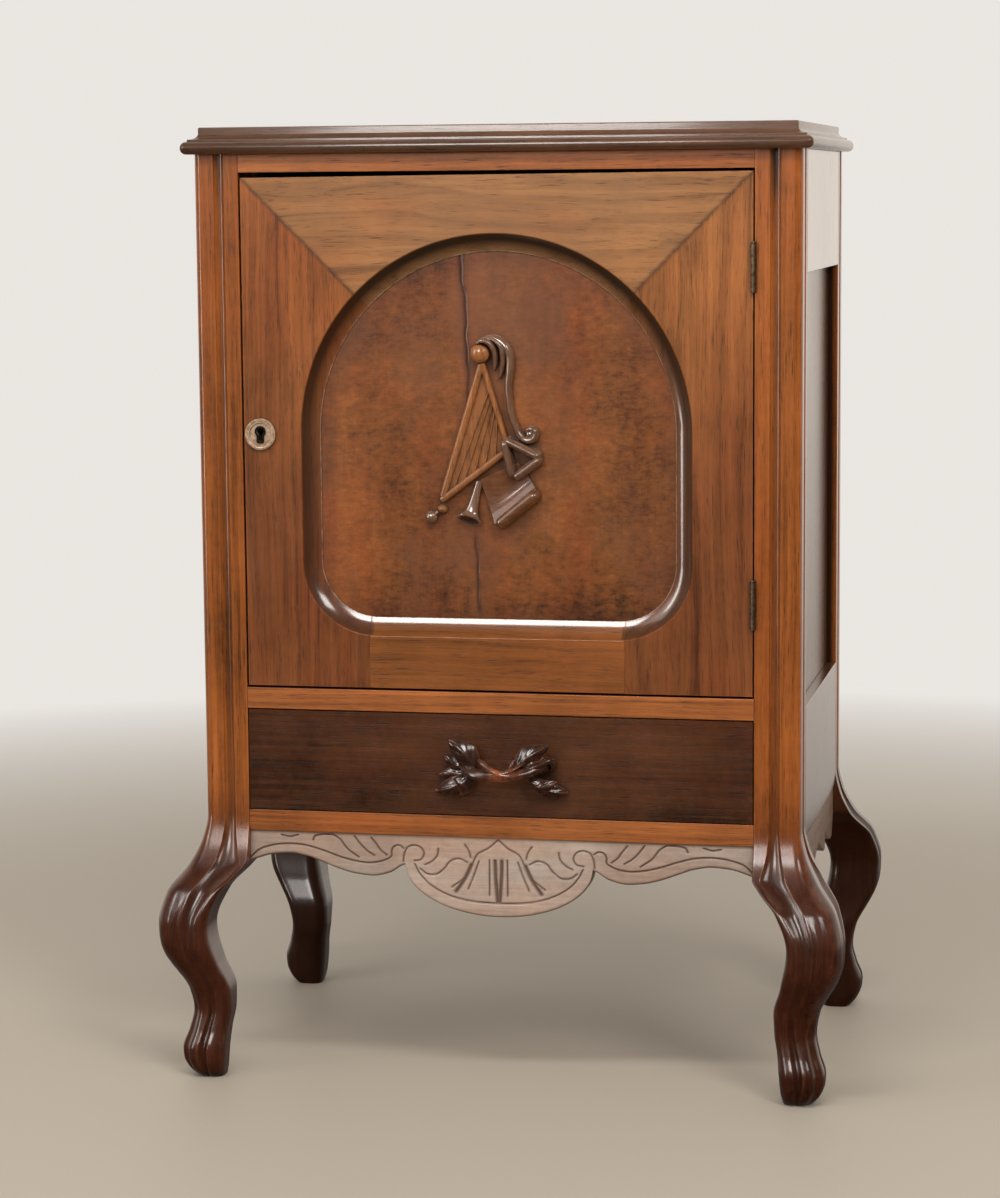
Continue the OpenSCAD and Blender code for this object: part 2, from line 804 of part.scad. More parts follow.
// A side apron: a middle arch between two points, and a hollow beside each leg
module side_apron(right) {
    arch = [for (i = [0:8]) [side_dip_y * i / 8, ease(side_crest_z, side_dip_z, i / 8)]];
    fall = [for (i = [0:7]) let (y = side_dip_y + (side_low - side_dip_y) * i / 7) [y + 0.8, side_edge(y)]];
    rise = [for (i = [1:5]) let (y = side_low + 0.8 + (post_y - side_low - 0.8) * i / 5) [y, side_edge(y)]];
    edge = concat(arch, fall, rise);
    other = [for (i = [len(edge) - 1:-1:1]) [-edge[i][0], edge[i][1]]];
    color(grey_walnut)
        at_side(right)
            translate([half_w - apron_back - apron_t, 0, leg_h])
                rotate([90, 0, 90])
                    linear_extrude(apron_t)
                        polygon(concat([[-post_y, 0]], other, edge, [[post_y, 0]]));
}

// Half of the top board's edge seen in section, from its underside outwards and up
function top_edge(reach) =
    let (nose_r = nose_h / 2)
    let (cove = top_t - tier_h - nose_h - ledge_h)
    concat(
        arc([reach - nose_r, nose_r], nose_r, -90, 90, 10),
        [[reach - ledge_in, nose_h], [reach - ledge_in, nose_h + ledge_h]],
        [for (a = [75:-15:0]) [reach - tier_in + (tier_in - ledge_in) * (1 - cos(90 - a)) * 0.8,
            top_t - tier_h - cove * sin(a)]],
        [[reach - tier_in, top_t - tier_h], [reach - tier_in, top_t - 0.8], [reach - tier_in - 0.8, top_t]]);

module top_board() {
    side = top_edge(half_w + top_over);
    front = top_edge(half_d + top_over);
    mirrored = [for (i = [len(side) - 1:-1:0]) [-side[i][0], side[i][1]]];
    long = body_w + 2 * top_over;
    color(dark_walnut)
        translate([0, 0, body_h])
            difference() {
                intersection() {
                    translate([0, long / 2, 0])
                        rotate([90, 0, 0])
                            linear_extrude(long)
                                polygon(concat(side, mirrored));
                    translate([long / 2, 0, 0])
                        rotate([90, 0, -90])
                            linear_extrude(long)
                                polygon(concat([[-half_d, 0]], front, [[-half_d, top_t]]));
                    translate([-half_w - top_over, front_y - top_over, 0])
                        rounded_slab(long, body_d + top_over);
                }
                translate([0, 0, -body_h])
                    top_screws_all();
            }
}

// A slab with its two front corners rounded in plan
module rounded_slab(w, d) {
    r = top_corner_r;
    linear_extrude(top_t)
        union() {
            translate([r, r])
                circle(r);
            translate([w - r, r])
                circle(r);
            translate([r, 0])
                square([w - 2 * r, d]);
            translate([0, r])
                square([w, d - r]);
        }
}

module corner_blocks_all() {
    for (right = [false, true], rear = [false, true])
        at_corner(right, rear)
            span([side_in_x - block_w, post_y - block_w, body_h - block_h], [side_in_x, post_y, body_h]);
}

module corner_blocks() {
    color(plain_wood)
        difference() {
            corner_blocks_all();
            top_screws_all();
        }
}

module top_screws_all() {
    for (right = [false, true], rear = [false, true])
        at_corner(right, rear)
            translate([side_in_x - block_w / 2, post_y - block_w / 2, body_h - block_h])
                screw(top_screw_r, top_screw_l, top_screw_r * 2, top_screw_r);
}

module top_screws() {
    color(iron)
        top_screws_all();
}

module cabinet_floor() {
    color(plain_wood)
        difference() {
            span([-panel_x, front_y + rail_d, floor_z], [panel_x, rear_rail_y, side_low_top]);
            for (right = [false, true])
                at_side(right)
                    span([post_x, post_y, floor_z - cut], [half_w, half_d, side_low_top + cut]);
        }
}

module shelf_rack(right) {
    color(plain_wood)
        at_side(right)
            difference() {
                span([post_x - rack_t, rack_y0, side_low_top], [post_x, rear_front_y, rack_top]);
                for (i = [1:shelf_count])
                    translate([0, 0, side_low_top + i * shelf_step])
                        span([post_x - rack_t - cut, rack_y0 - cut, 0],
                            [post_x - rack_t + slot_d, rear_front_y + cut, shelf_t + run_gap]);
                middle_rail();
            }
}

module shelf(i) {
    reach = post_x - rack_t + slot_d - run_gap;
    z = side_low_top + i * shelf_step;
    color(plain_wood)
        span([-reach, front_y + door_t + shelf_back, z], [reach, rear_rail_y - run_gap, z + shelf_t]);
}

// A runner with the upright guide on its outer edge
module drawer_runner(right) {
    y0 = front_y + rail_d;
    color(plain_wood)
        at_side(right)
            union() {
                span([side_in_x - runner_w, y0, leg_h], [side_in_x, post_y, drawer_bay_z]);
                span([post_x, y0, drawer_bay_z], [side_in_x, post_y, drawer_bay_z + guide_h]);
            }
}

module drawer_stops() {
    y0 = front_y + drawer_front_t + run_gap;
    color(plain_wood)
        for (s = [-1, 1])
            span([s * stop_x - stop_w / 2, y0, drawer_bay_z],
                [s * stop_x + stop_w / 2, y0 + stop_d, drawer_bottom_z - 10 * run_gap]);
}

module strike_plate() {
    color(aged_brass)
        difference() {
            strike_blank();
            strike_pocket();
            strike_screws();
        }
}

module frame_screws() {
    color(aged_brass) {
        hinge_screws(false);
        strike_screws();
    }
}

// Section of the cove beside an opening of radius r: a bevel hollowed by a parabola, open towards the front
module cove_section(r) {
    polygon(concat(
        [[r - cove_w, cut], [r, cut]],
        [for (t = [0:0.125:1]) [r - cove_w * t, -cove_d * t - 4 * cove_bow * t * (1 - t)]]));
}

// The cove along a straight stretch upwards from the origin
module cove_run(l, r) {
    translate([0, l, 0])
        rotate([90, 0, 0])
            linear_extrude(l)
                cove_section(r);
}

// The arched opening and its cove, in the plane of the door's face
module arch_cut() {
    hole_r = arch_r - cove_w;
    hole_corner = arch_corner_r - cove_w;
    corner_x = arch_r - arch_corner_r;
    corner_z = arch_low_z + arch_corner_r;
    translate([0, 0, -door_t - cut])
        linear_extrude(door_t + 2 * cut)
            union() {
                translate([0, arch_z])
                    circle(hole_r);
                translate([-hole_r, corner_z])
                    square([2 * hole_r, arch_z - corner_z]);
                translate([-corner_x, arch_low_z + cove_w])
                    square([2 * corner_x, corner_z - arch_low_z]);
                for (s = [-1, 1])
                    translate([s * corner_x, corner_z])
                        circle(hole_corner);
            }
    translate([0, arch_z, 0])
        rotate_extrude(angle = 180, $fn = 96)
            cove_section(arch_r);
    for (right = [false, true])
        mirror([right ? 0 : 1, 0, 0]) {
            translate([0, corner_z, 0])
                cove_run(arch_z - corner_z, arch_r);
            translate([corner_x, corner_z, 0])
                rotate([0, 0, -90])
                    rotate_extrude(angle = 90)
                        cove_section(arch_corner_r);
        }
    translate([-corner_x, corner_z, 0])
        rotate([0, 0, -90])
            cove_run(2 * corner_x, arch_corner_r);
}

// One member of the door frame: its outline cut by the arch and by the rebate for the panel
module door_member(points) {
    difference() {
        facing()
            difference() {
                translate([0, 0, -door_t])
                    linear_extrude(door_t)
                        polygon(points);
                arch_cut();
            }
        door_panel();
    }
}

module door_top_rail() {
    color(walnut)
        door_member([[door_x0, door_z1 - door_drop], [door_x1, door_z1],
            [door_x1 - mitre, door_z1 - mitre], [0, arch_z], [door_x0 + mitre, door_z1 - door_drop - mitre]]);
}

module keyhole(z0, z1) {
    translate([key_x, key_top_z, z0])
        cylinder(h = z1 - z0, r = key_r);
    translate([key_x - key_slot_w / 2, key_top_z - key_slot_h, z0])
        cube([key_slot_w, key_slot_h, z1 - z0]);
}

module lock_blank() {
    span([door_x0, front_y + door_t - lock_t, lock_z0], [door_x0 + lock_w, front_y + door_t, lock_z1]);
}

module door_lock_stile() {
    top = door_z1 - door_drop;
    color(walnut)
        difference() {
            door_member([[door_x0, door_z0], [-door_joint_x, door_z0], [-door_joint_x, arch_z],
                [0, arch_z], [door_x0 + mitre, top - mitre], [door_x0, top]]);
            lock_blank();
            lock_screws();
            facing()
                keyhole(-door_t, cut);
        }
}

module door_hinge_stile() {
    color(walnut)
        difference() {
            door_member([[door_x1, door_z0], [door_joint_x, door_z0], [door_joint_x, arch_z],
                [0, arch_z], [door_x1 - mitre, door_z1 - mitre], [door_x1, door_z1]]);
            for (z = hinge_centres)
                leaf_flat(true, z);
            hinge_screws(true);
        }
}

module door_bottom_rail() {
    top = arch_low_z + arch_corner_r;
    color(walnut)
        door_member([[-door_joint_x, door_z0], [door_joint_x, door_z0], [door_joint_x, top], [-door_joint_x, top]]);
}

module door_panel() {
    color(red_walnut)
        span([-door_panel_x, front_y + panel_in, door_panel_z0], [door_panel_x, front_y + door_t, door_panel_z1]);
}

module escutcheon() {
    color(aged_brass)
        facing()
            difference() {
                translate([key_x, key_z, 0])
                    cylinder(h = plate_t, r = plate_r);
                translate([key_x, key_z, plate_t - 0.9])
                    cylinder(h = plate_t, r = plate_r * 0.72);
                keyhole(-cut, plate_t + cut);
            }
}

module lock_case() {
    y0 = front_y + bolt_in - bolt_gap;
    color(aged_brass)
        difference() {
            lock_blank();
            span([door_x0 - cut, y0, bolt_z - bolt_gap],
                [door_x0 + bolt_l + 2 * bolt_gap, y0 + bolt_t + 2 * bolt_gap, bolt_z + bolt_h + bolt_gap]);
            facing()
                keyhole(-bolt_in - bolt_t, cut);
            lock_screws();
        }
}

// The sliding bolt, with the notch that the key moves
module lock_bolt() {
    y0 = front_y + bolt_in;
    color(iron)
        difference() {
            span([door_x0, y0, bolt_z], [door_x0 + bolt_l, y0 + bolt_t, bolt_z + bolt_h]);
            span([key_x - key_slot_w, y0 - cut, bolt_z - cut], [key_x + key_slot_w, y0 + bolt_t + cut, bolt_z + 4]);
        }
}

module door_screws() {
    color(aged_brass) {
        hinge_screws(true);
        lock_screws();
    }
}

// A pointed leaf from the origin along +X, l long and w wide
module leaf_shape(l, w) {
    polygon(concat(
        [for (i = [0:6]) [l * i / 6, w / 2 * sin(30 * i)]],
        [for (i = [5:-1:1]) [l * i / 6, -w / 2 * sin(30 * i)]]));
}

// Each handle leaf: place beside the handle's middle, length, width, direction and thickness
handle_leaves = [[-28, 1, 29, 14, 126, 7], [-27, 0, 28, 12, 185, 5.5], [-26, -1, 39, 15, 211, 6.5],
    [-27, -2, 24, 13, 255, 6], [22, 1, 29, 14, 47, 6.5], [26, 2, 22, 11, 24, 5.5], [24, -4, 35, 13, -17, 6]];

module drawer_handle() {
    color(dark_walnut)
        difference() {
            facing()
                translate([handle_x, handle_z, 0]) {
                    for (p = handle_leaves)
                        translate(leaf_k * [p[0], p[1], 0])
                            rotate([0, 0, p[4]])
                                linear_extrude(p[5])
                                    leaf_shape(leaf_k * p[2], leaf_k * p[3]);
                    for (s = [-1, 1])
                        translate([s * handle_end, 0, 0])
                            cylinder(h = handle_base_t, r = bow_bar_r * 2);
                    translate([0, 0, bow_out - bow_bar_r - bow_r])
                        rotate([90, 0, 0])
                            rotate([0, 0, bow_angle])
                                rotate_extrude(angle = 180 - 2 * bow_angle)
                                    translate([bow_r, 0])
                                        circle(bow_bar_r);
                }
            handle_screws_all();
        }
}

module handle_screws_all() {
    l = drawer_front_t + handle_base_t - 2;
    for (s = [-1, 1])
        translate([handle_x + s * handle_end, front_y + drawer_front_t, handle_z])
            rotate([90, 0, 0])
                screw(top_screw_r, l, top_screw_r * 2, top_screw_r);
}

module handle_screws() {
    color(iron)
        handle_screws_all();
}

// Dovetails on the front end of a drawer side
module tails(right) {
    pitch = drawer_side_h / tail_count;
    root = pitch * 0.26;
    tip = pitch * 0.4;
    y0 = front_y + drawer_front_t;
    at_side(right)
        for (i = [0:tail_count - 1])
            translate([drawer_in_x, y0, drawer_z0 + pitch * (i + 0.5)])
                rotate([90, 0, 90])
                    linear_extrude(drawer_side_t)
                        polygon([[0, -root], [0, root], [-tail_l, tip], [-tail_l, -tip]]);
}

module drawer_front() {
    color(dark_walnut)
        difference() {
            span([-drawer_x, front_y, drawer_bay_z + drawer_gap],
                [drawer_x, front_y + drawer_front_t, middle_rail_z - drawer_gap]);
            tails(false);
            tails(true);
            drawer_bottom();
            handle_screws_all();
        }
}

module drawer_side(right) {
    y0 = front_y + drawer_front_t;
    color(plain_wood)
        difference() {
            union() {
                at_side(right)
                    span([drawer_in_x, y0, drawer_z0], [drawer_x, drawer_back_y, drawer_z0 + drawer_side_h]);
                tails(right);
            }
            drawer_bottom();
        }
}

module drawer_back() {
    z0 = drawer_bottom_z + drawer_bottom_t;
    color(plain_wood)
        span([-drawer_in_x, drawer_back_y - drawer_side_t - 4, z0],
            [drawer_in_x, drawer_back_y - 4, drawer_z0 + drawer_side_h - 4]);
}

module drawer_bottom() {
    reach = drawer_in_x + bottom_groove;
    color(plain_wood)
        span([-reach, front_y + drawer_front_t - bottom_groove, drawer_bottom_z],
            [reach, drawer_back_y - 4, drawer_bottom_z + drawer_bottom_t]);
}

// A bar along a list of points on the door panel, w wide and t high
module carved_bar(points, w, t) {
    n = len(points) - 1;
    turns = [for (i = [0:n]) points[min(i + 1, n)] - points[max(i - 1, 0)]];
    sides = [for (d = turns) [-d[1], d[0]] * w / norm(d) / 2];
    linear_extrude(t)
        polygon(concat([for (i = [0:n]) points[i] + sides[i]], [for (i = [n:-1:0]) points[i] - sides[i]]));
}

// A point between two others
function between(a, b, t) = a + (b - a) * t;

// The trophy's places are measured across and up from its lowest point
harp_top = trophy_k * [-1.5, 144];
harp_left = trophy_k * [-38, 25];
harp_right = trophy_k * [22, 70];
string_count = 5;

module trophy_harp() {
    linear_extrude(trophy_t)
        polygon([harp_top, harp_left, harp_right]);
    carved_bar([harp_top + trophy_k * [1, 3], harp_left], 6.6 * trophy_k, trophy_bar_t);
    carved_bar([harp_left - trophy_k * [2, 1.5], harp_right], 6 * trophy_k, trophy_bar_t);
    carved_bar([harp_right, harp_top + trophy_k * [-1, 3]], 5 * trophy_k, trophy_bar_t);
    for (i = [1:string_count])
        carved_bar([between(harp_left, harp_right, 0.16 * i), between(harp_top, harp_right, 0.22 + 0.07 * i)],
            1.6 * trophy_k, trophy_bar_t * 0.8);
    carved_bar([harp_left, trophy_k * [-48.5, 9.5]], 4 * trophy_k, trophy_t);
    for (p = [[-38, 17.5, 5.4], [-48.5, 9.5, 5.2]])
        translate([p[0] * trophy_k, p[1] * trophy_k, trophy_t / 2])
            sphere(p[2] * trophy_k);
}

module trophy_neck() {
    carved_bar(trophy_k * [[-2.5, 156], [4, 160.5], [13, 160], [20, 154], [23, 140], [21, 113], [26, 96], [37, 85]],
        6.4 * trophy_k, trophy_bar_t);
    carved_bar(trophy_k * [[9.5, 160], [12.5, 134]], 5.6 * trophy_k, trophy_full_t * 0.9);
    translate([-2.5 * trophy_k, 153.5 * trophy_k, trophy_full_t - 7.8 * trophy_k])
        sphere(7.8 * trophy_k);
    translate([39 * trophy_k, 84.5 * trophy_k, 0])
        cylinder(h = trophy_full_t, r = 6.8 * trophy_k);
}

module trophy_triangle() {
    difference() {
        linear_extrude(trophy_full_t)
            polygon(trophy_k * [[16.9, 81.4], [50, 66.4], [24, 46.8]]);
        translate([0, 0, -cut])
            linear_extrude(trophy_full_t + 2 * cut)
                polygon(trophy_k * [[23.2, 72.4], [39.8, 65.2], [28.2, 56]]);
    }
}

module trophy_horn() {
    bell_l = 8 * trophy_k;
    throat_r = 3.4 * trophy_k;
    translate([-14.7 * trophy_k, 7 * trophy_k, trophy_t])
        rotate([-90, 0, -13]) {
            cylinder(h = bell_l, r1 = 10.4 * trophy_k, r2 = throat_r);
            translate([0, 0, bell_l])
                cylinder(h = 34 * trophy_k, r1 = throat_r, r2 = 2.4 * trophy_k);
        }
}

module trophy_sheet() {
    linear_extrude(trophy_t)
        polygon(trophy_k * [[-4, 42], [9, 9], [17, 5], [46, 33], [34, 46], [24, 64]]);
    translate([15.5 * trophy_k, 5.3 * trophy_k, trophy_t])
        rotate([-90, 0, -47.5])
            cylinder(h = 42 * trophy_k, r = 4.6 * trophy_k);
}

module carved_trophy() {
    color(dark_walnut)
        intersection() {
            translate([trophy_x, front_y + panel_in, trophy_z])
                rotate([90, 0, 0]) {
                    trophy_harp();
                    trophy_neck();
                    trophy_triangle();
                    trophy_horn();
                    trophy_sheet();
                }
            span([-half_w, front_y, 0], [half_w, front_y + panel_in, body_h]);
        }
}

top_board();
front_left_leg();
front_right_leg();
rear_leg(false);  // rear_left_leg
rear_leg(true);  // rear_right_leg
top_front_rail();
middle_rail();
lower_rail();
rear_top_rail();
rear_bottom_rail();
side_rail(false, side_high_z, body_h);  // left_top_rail
side_rail(true, side_high_z, body_h);  // right_top_rail
side_rail(false, leg_h, side_low_top);  // left_bottom_rail
side_rail(true, leg_h, side_low_top);  // right_bottom_rail
side_panel(false);  // left_panel
side_panel(true);  // right_panel
back_panel();
front_apron();
side_apron(false);  // left_apron
side_apron(true);  // right_apron
cabinet_floor();
shelf_rack(false);  // left_shelf_rack
shelf_rack(true);  // right_shelf_rack
shelf(1);  // shelf_1
shelf(2);  // shelf_2
shelf(3);  // shelf_3
shelf(4);  // shelf_4
shelf(5);  // shelf_5
drawer_runner(false);  // left_drawer_runner
drawer_runner(true);  // right_drawer_runner
drawer_stops();
corner_blocks();
top_screws();
back_nails();
color(aged_brass) frame_leaf(hinge_centres[1]);  // upper_hinge_frame_leaf
color(aged_brass) frame_leaf(hinge_centres[0]);  // lower_hinge_frame_leaf
color(aged_brass) hinge_pin(hinge_centres[1]);  // upper_hinge_pin
color(aged_brass) hinge_pin(hinge_centres[0]);  // lower_hinge_pin
strike_plate();
frame_screws();
door_top_rail();
door_lock_stile();
door_hinge_stile();
door_bottom_rail();
door_panel();
carved_trophy();
escutcheon();
lock_case();
color(aged_brass) door_leaf(hinge_centres[1]);  // upper_hinge_door_leaf
color(aged_brass) door_leaf(hinge_centres[0]);  // lower_hinge_door_leaf
door_screws();
lock_bolt();
drawer_front();
drawer_side(false);  // drawer_left_side
drawer_side(true);  // drawer_right_side
drawer_back();
drawer_bottom();
drawer_handle();
handle_screws();
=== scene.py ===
# Walnut music cabinet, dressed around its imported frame
import math

import bmesh
import bpy
import numpy as np
from mathutils import Matrix, Vector


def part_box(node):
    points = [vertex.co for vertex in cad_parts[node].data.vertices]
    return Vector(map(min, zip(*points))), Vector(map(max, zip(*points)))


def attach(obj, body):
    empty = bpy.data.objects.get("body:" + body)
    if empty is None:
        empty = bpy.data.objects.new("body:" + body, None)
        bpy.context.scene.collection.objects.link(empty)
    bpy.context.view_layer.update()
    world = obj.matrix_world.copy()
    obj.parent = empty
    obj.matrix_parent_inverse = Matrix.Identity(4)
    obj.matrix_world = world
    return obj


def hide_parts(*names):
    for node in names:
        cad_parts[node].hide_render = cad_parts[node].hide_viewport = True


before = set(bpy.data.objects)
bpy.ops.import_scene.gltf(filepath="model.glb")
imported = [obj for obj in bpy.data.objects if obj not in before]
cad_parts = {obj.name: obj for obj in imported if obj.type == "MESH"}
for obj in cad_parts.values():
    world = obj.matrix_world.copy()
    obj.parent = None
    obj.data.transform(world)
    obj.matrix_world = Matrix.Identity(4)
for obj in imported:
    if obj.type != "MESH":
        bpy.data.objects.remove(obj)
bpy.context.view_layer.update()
mm = 0.001  # new shapes are worked out in millimetres
print("frame loaded:", len(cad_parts), "nodes")


# A node's low and high corners in millimetres
def cornersOf(name):
    return [np.array(corner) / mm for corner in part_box(name)]


# Places taken from the frame
halfW = cornersOf("right_top_rail")[1][0]
halfD = cornersOf("top_board")[1][1]
frontY = cornersOf("drawer_front")[0][1]
bodyTop = cornersOf("front_left_leg")[1][2]
postX = -cornersOf("left_shelf_rack")[0][0]
panelFace = cornersOf("door_panel")[0][1]
coveDepth = panelFace - frontY - 1.0  # of the hollow round the door's opening, which ends in a step of 1 mm


# Small tools

# Squares of a grid: each point joined to the next one in its row and to the next row
def gridFaces(rows, cols, closedCols=False):
    r, c = np.meshgrid(np.arange(rows - 1), np.arange(cols if closedCols else cols - 1), indexing="ij")
    right = (c + 1) % cols
    corners = [r * cols + c, r * cols + right, (r + 1) * cols + right, (r + 1) * cols + c]
    return np.stack(corners, -1).reshape(-1, 4).tolist()


# A smooth step from 0 to 1 between two values: 3t^2 - 2t^3
def smoothStep(low, high, value):
    t = np.clip((value - low) / (high - low), 0, 1)
    return t * t * (3 - 2 * t)


# A bell of height 1 round a centre: e to the minus square of distance over width
def bell(value, centre, width):
    return np.exp(-(((value - centre) / width) ** 2))


# A smooth curve through stations (place, value): cubic pieces. A steady curve takes the harmonic mean of the
# two neighbouring slopes, or none at a turning point, so it never swings past a station
def throughStations(place, stations, steady=True):
    x, y = np.array(stations, float).T
    slope = np.gradient(y, x)
    if steady:
        step = np.diff(y) / np.diff(x)
        before, after = step[:-1], step[1:]
        total = np.where(before * after > 0, before + after, 1)
        slope[1:-1] = np.where(before * after > 0, 2 * before * after / total, 0)
    i = np.clip(np.searchsorted(x, place) - 1, 0, len(x) - 2)
    h = x[i + 1] - x[i]
    t = np.clip((place - x[i]) / h, 0, 1)
    a, b = y[i], y[i + 1]
    return (a * (1 + 2 * t) * (1 - t) ** 2 + b * t * t * (3 - 2 * t)
            + h * t * (1 - t) * (slope[i] * (1 - t) - slope[i + 1] * t))


# Directions brought to length one
def unit(arrows):
    return arrows / np.linalg.norm(arrows, axis=-1, keepdims=True)


# Many points along a curve that passes through a few: stations by length, cubic pieces between them
def smoothPath(points, count):
    p = np.array(points, float)
    along = np.concatenate([[0], np.cumsum(np.linalg.norm(np.diff(p, axis=0), axis=1))])
    s = np.linspace(0, along[-1], count)
    columns = [np.stack([along, p[:, k]], 1) for k in range(p.shape[1])]
    return np.stack([throughStations(s, column, False) for column in columns], 1)


# Several point and face lists as one
def joined(parts):
    points, faces, base = [], [], 0
    for p, f in parts:
        points.append(p)
        faces += [[i + base for i in face] for face in f]
        base += len(p)
    return np.concatenate(points), faces


# A closed skin over rings of points, with a face over each end
def skin(rings):
    rows, cols = rings.shape[:2]
    ends = [list(range(cols))[::-1], list(range((rows - 1) * cols, rows * cols))]
    return rings.reshape(-1, 3), gridFaces(rows, cols, True) + ends


# An object from points in millimetres, with faces turned outwards and values for wear and for grime with
# painted shade
def makePiece(name, shape, body, material, slot, instead=(), wear=None, grime=None, sharp=42):
    points, faces = shape
    mesh = bpy.data.meshes.new(name)
    mesh.from_pydata((np.asarray(points) * mm).tolist(), [], faces)
    for label, values in (("wear", wear), ("grime", grime)):
        if values is not None:
            mesh.attributes.new(label, "FLOAT", "POINT").data.foreach_set("value", np.ravel(values))
    form = bmesh.new()
    form.from_mesh(mesh)
    bmesh.ops.recalc_face_normals(form, faces=form.faces)
    form.to_mesh(mesh)
    form.free()
    mesh.polygons.foreach_set("use_smooth", [True] * len(mesh.polygons))
    mesh.set_sharp_from_angle(angle=math.radians(sharp))
    mesh.materials.append(bpy.data.materials[material])
    piece = bpy.data.objects.new(name, mesh)
    bpy.context.scene.collection.objects.link(piece)
    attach(piece, body)
    if instead:
        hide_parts(*instead)
    return piece


# Materials

# A node with its plain values set and its given sockets linked
def addNode(tree, kind, inputs=None, **settings):
    node = tree.nodes.new("ShaderNode" + kind)
    for key, value in settings.items():
        setattr(node, key, value)
    for key, value in (inputs or {}).items():
        if isinstance(value, bpy.types.NodeSocket):
            tree.links.new(value, node.inputs[key])
        else:
            node.inputs[key].default_value = value
    return node


def sums(tree, operation, *values, clamp=False):
    return addNode(tree, "Math", dict(enumerate(values)), operation=operation, use_clamp=clamp).outputs[0]


def times(tree, product, *factors):
    for factor in factors:
        product = sums(tree, "MULTIPLY", product, factor)
    return product


# How far a value swings from its middle, times an amount
def swing(tree, value, middle, amount):
    return times(tree, sums(tree, "SUBTRACT", value, middle), amount)


def vectors(tree, operation, *values, output=0):
    return addNode(tree, "VectorMath", dict(enumerate(values)), operation=operation).outputs[output]


def blend(tree, amount, first, second, mode="MIX"):
    inputs = {0: amount, 6: first, 7: second}
    return addNode(tree, "Mix", inputs, data_type="RGBA", blend_type=mode).outputs[2]


def spread(tree, value, low, high, to0=0.0, to1=1.0):
    inputs = {"Value": value, "From Min": low, "From Max": high, "To Min": to0, "To Max": to1}
    return addNode(tree, "MapRange", inputs, clamp=True).outputs[0]


# Noise over points stretched by a scale in each direction
def grainNoise(tree, points, scale, detail=2.0, rough=0.5, output=0):
    stretched = vectors(tree, "MULTIPLY", points, scale)
    inputs = {"Vector": stretched, "Scale": 1.0, "Detail": detail, "Roughness": rough}
    return addNode(tree, "TexNoise", inputs).outputs[output]


def rgb(colour):
    return (*colour, 1.0)


def colourRamp(tree, value, stops):
    ramp = addNode(tree, "ValToRGB", {0: value})
    bar = ramp.color_ramp
    for place, colour in stops[2:]:
        bar.elements.new(place)
    for element, (place, colour) in zip(bar.elements, sorted(stops)):
        element.position = place
        element.color = rgb(colour)
    return ramp.outputs[0]


def emptyMaterial(name):
    material = bpy.data.materials.new(name)
    material.use_nodes = True
    material.node_tree.nodes.clear()
    return material


woodBase = {
    "grain": "z",          # direction of the fibres
    "pith": (0.09, 0.05),  # where the tree's heart lies beside the board, in metres
    "shift": 0.0,          # the board's place along the trunk, in metres
    "ring": 0.009,         # width of a year's growth
    "warp": 0.016,         # how far the rings wander
    # how much each figure moves the tone
    "fibre": 0.32, "streak": 0.26, "patch": 0.5, "figure": 0.14, "ringDark": 0.07, "pore": 0.22,
    "mottle": 0.12, "burr": 0.0,
    # stains, worn edges, dark wax with painted shade in hollows and a pale lip that is partly painted
    # highlight; without a colour of their own, wear and the darkening take it from the wood
    "red": 0.5, "grey": 0.0, "greyTone": (0.16, 0.085, 0.050), "wear": 0.5, "bare": None,
    "grime": 0.75, "dirtAndShade": None, "hollow": 0.0, "lip": (0.50, 0.36, 0.26),
    "rough": 0.34, "gloss": 0.2, "coat": 0.25, "coatRough": 0.16, "coatIndex": 1.5, "bump": 0.3,
}


# Four tones round one colour: its dark, its two middle and its light wood
def toneSet(colour, contrast=1.0):
    return [tuple(c * (1 + (k - 1) * contrast) for c in colour) for k in (0.34, 0.80, 1.16, 1.60)]


def toneRamp(tree, tone, tones):
    dark, low, high, light = tones
    return colourRamp(tree, tone, [(0.05, dark), (0.95, light), (0.36, low), (0.64, high)])


# The hollow round the door's opening, in metres: each pair is where a band of painted shade or highlight
# starts and ends
coveBands = {
    "outer": (0.0003, 0.0012), "inner": (0.0052, 0.0092),  # behind the door's face
    "reach": (0.180, 0.176), "stiles": (0.1105, 0.1115),   # from the door's middle
    "rise": (0.45, 0.71), "stileRise": (0.40, 0.66),       # above the floor
    "lip": (0.00065, 0.0005), "lipIn": 0.0005,
}


# The hollow gets painted shade, darkest at the top of the arch and along its outer edge, where light from
# above falls least; low on the stiles it also stands for their darker stain
def coveShade(tree, x, y, z):
    outer, inner = [[frontY * mm + place for place in coveBands[key]] for key in ("outer", "inner")]
    aside = sums(tree, "ABSOLUTE", x)
    rise = spread(tree, z, *coveBands["stileRise"], 0.66, 1.0)
    sides = times(tree, spread(tree, aside, *coveBands["stiles"]), rise)
    height = sums(tree, "MAXIMUM", spread(tree, z, *coveBands["rise"], 0.10, 1.0), sides)
    depth = times(tree, spread(tree, y, *outer), spread(tree, y, *inner, 1.0, 0.50))
    return times(tree, depth, spread(tree, aside, *coveBands["reach"]), height)


# Its inner edge is painted pale, rubbed wood with a painted highlight: a narrow band of depth behind the
# door's face
def coveLip(tree, x, y):
    edge = (frontY + coveDepth) * mm + coveBands["lipIn"]
    band = spread(tree, sums(tree, "ABSOLUTE", sums(tree, "SUBTRACT", y, edge)), *coveBands["lip"])
    return times(tree, band, spread(tree, sums(tree, "ABSOLUTE", x), *coveBands["reach"]))


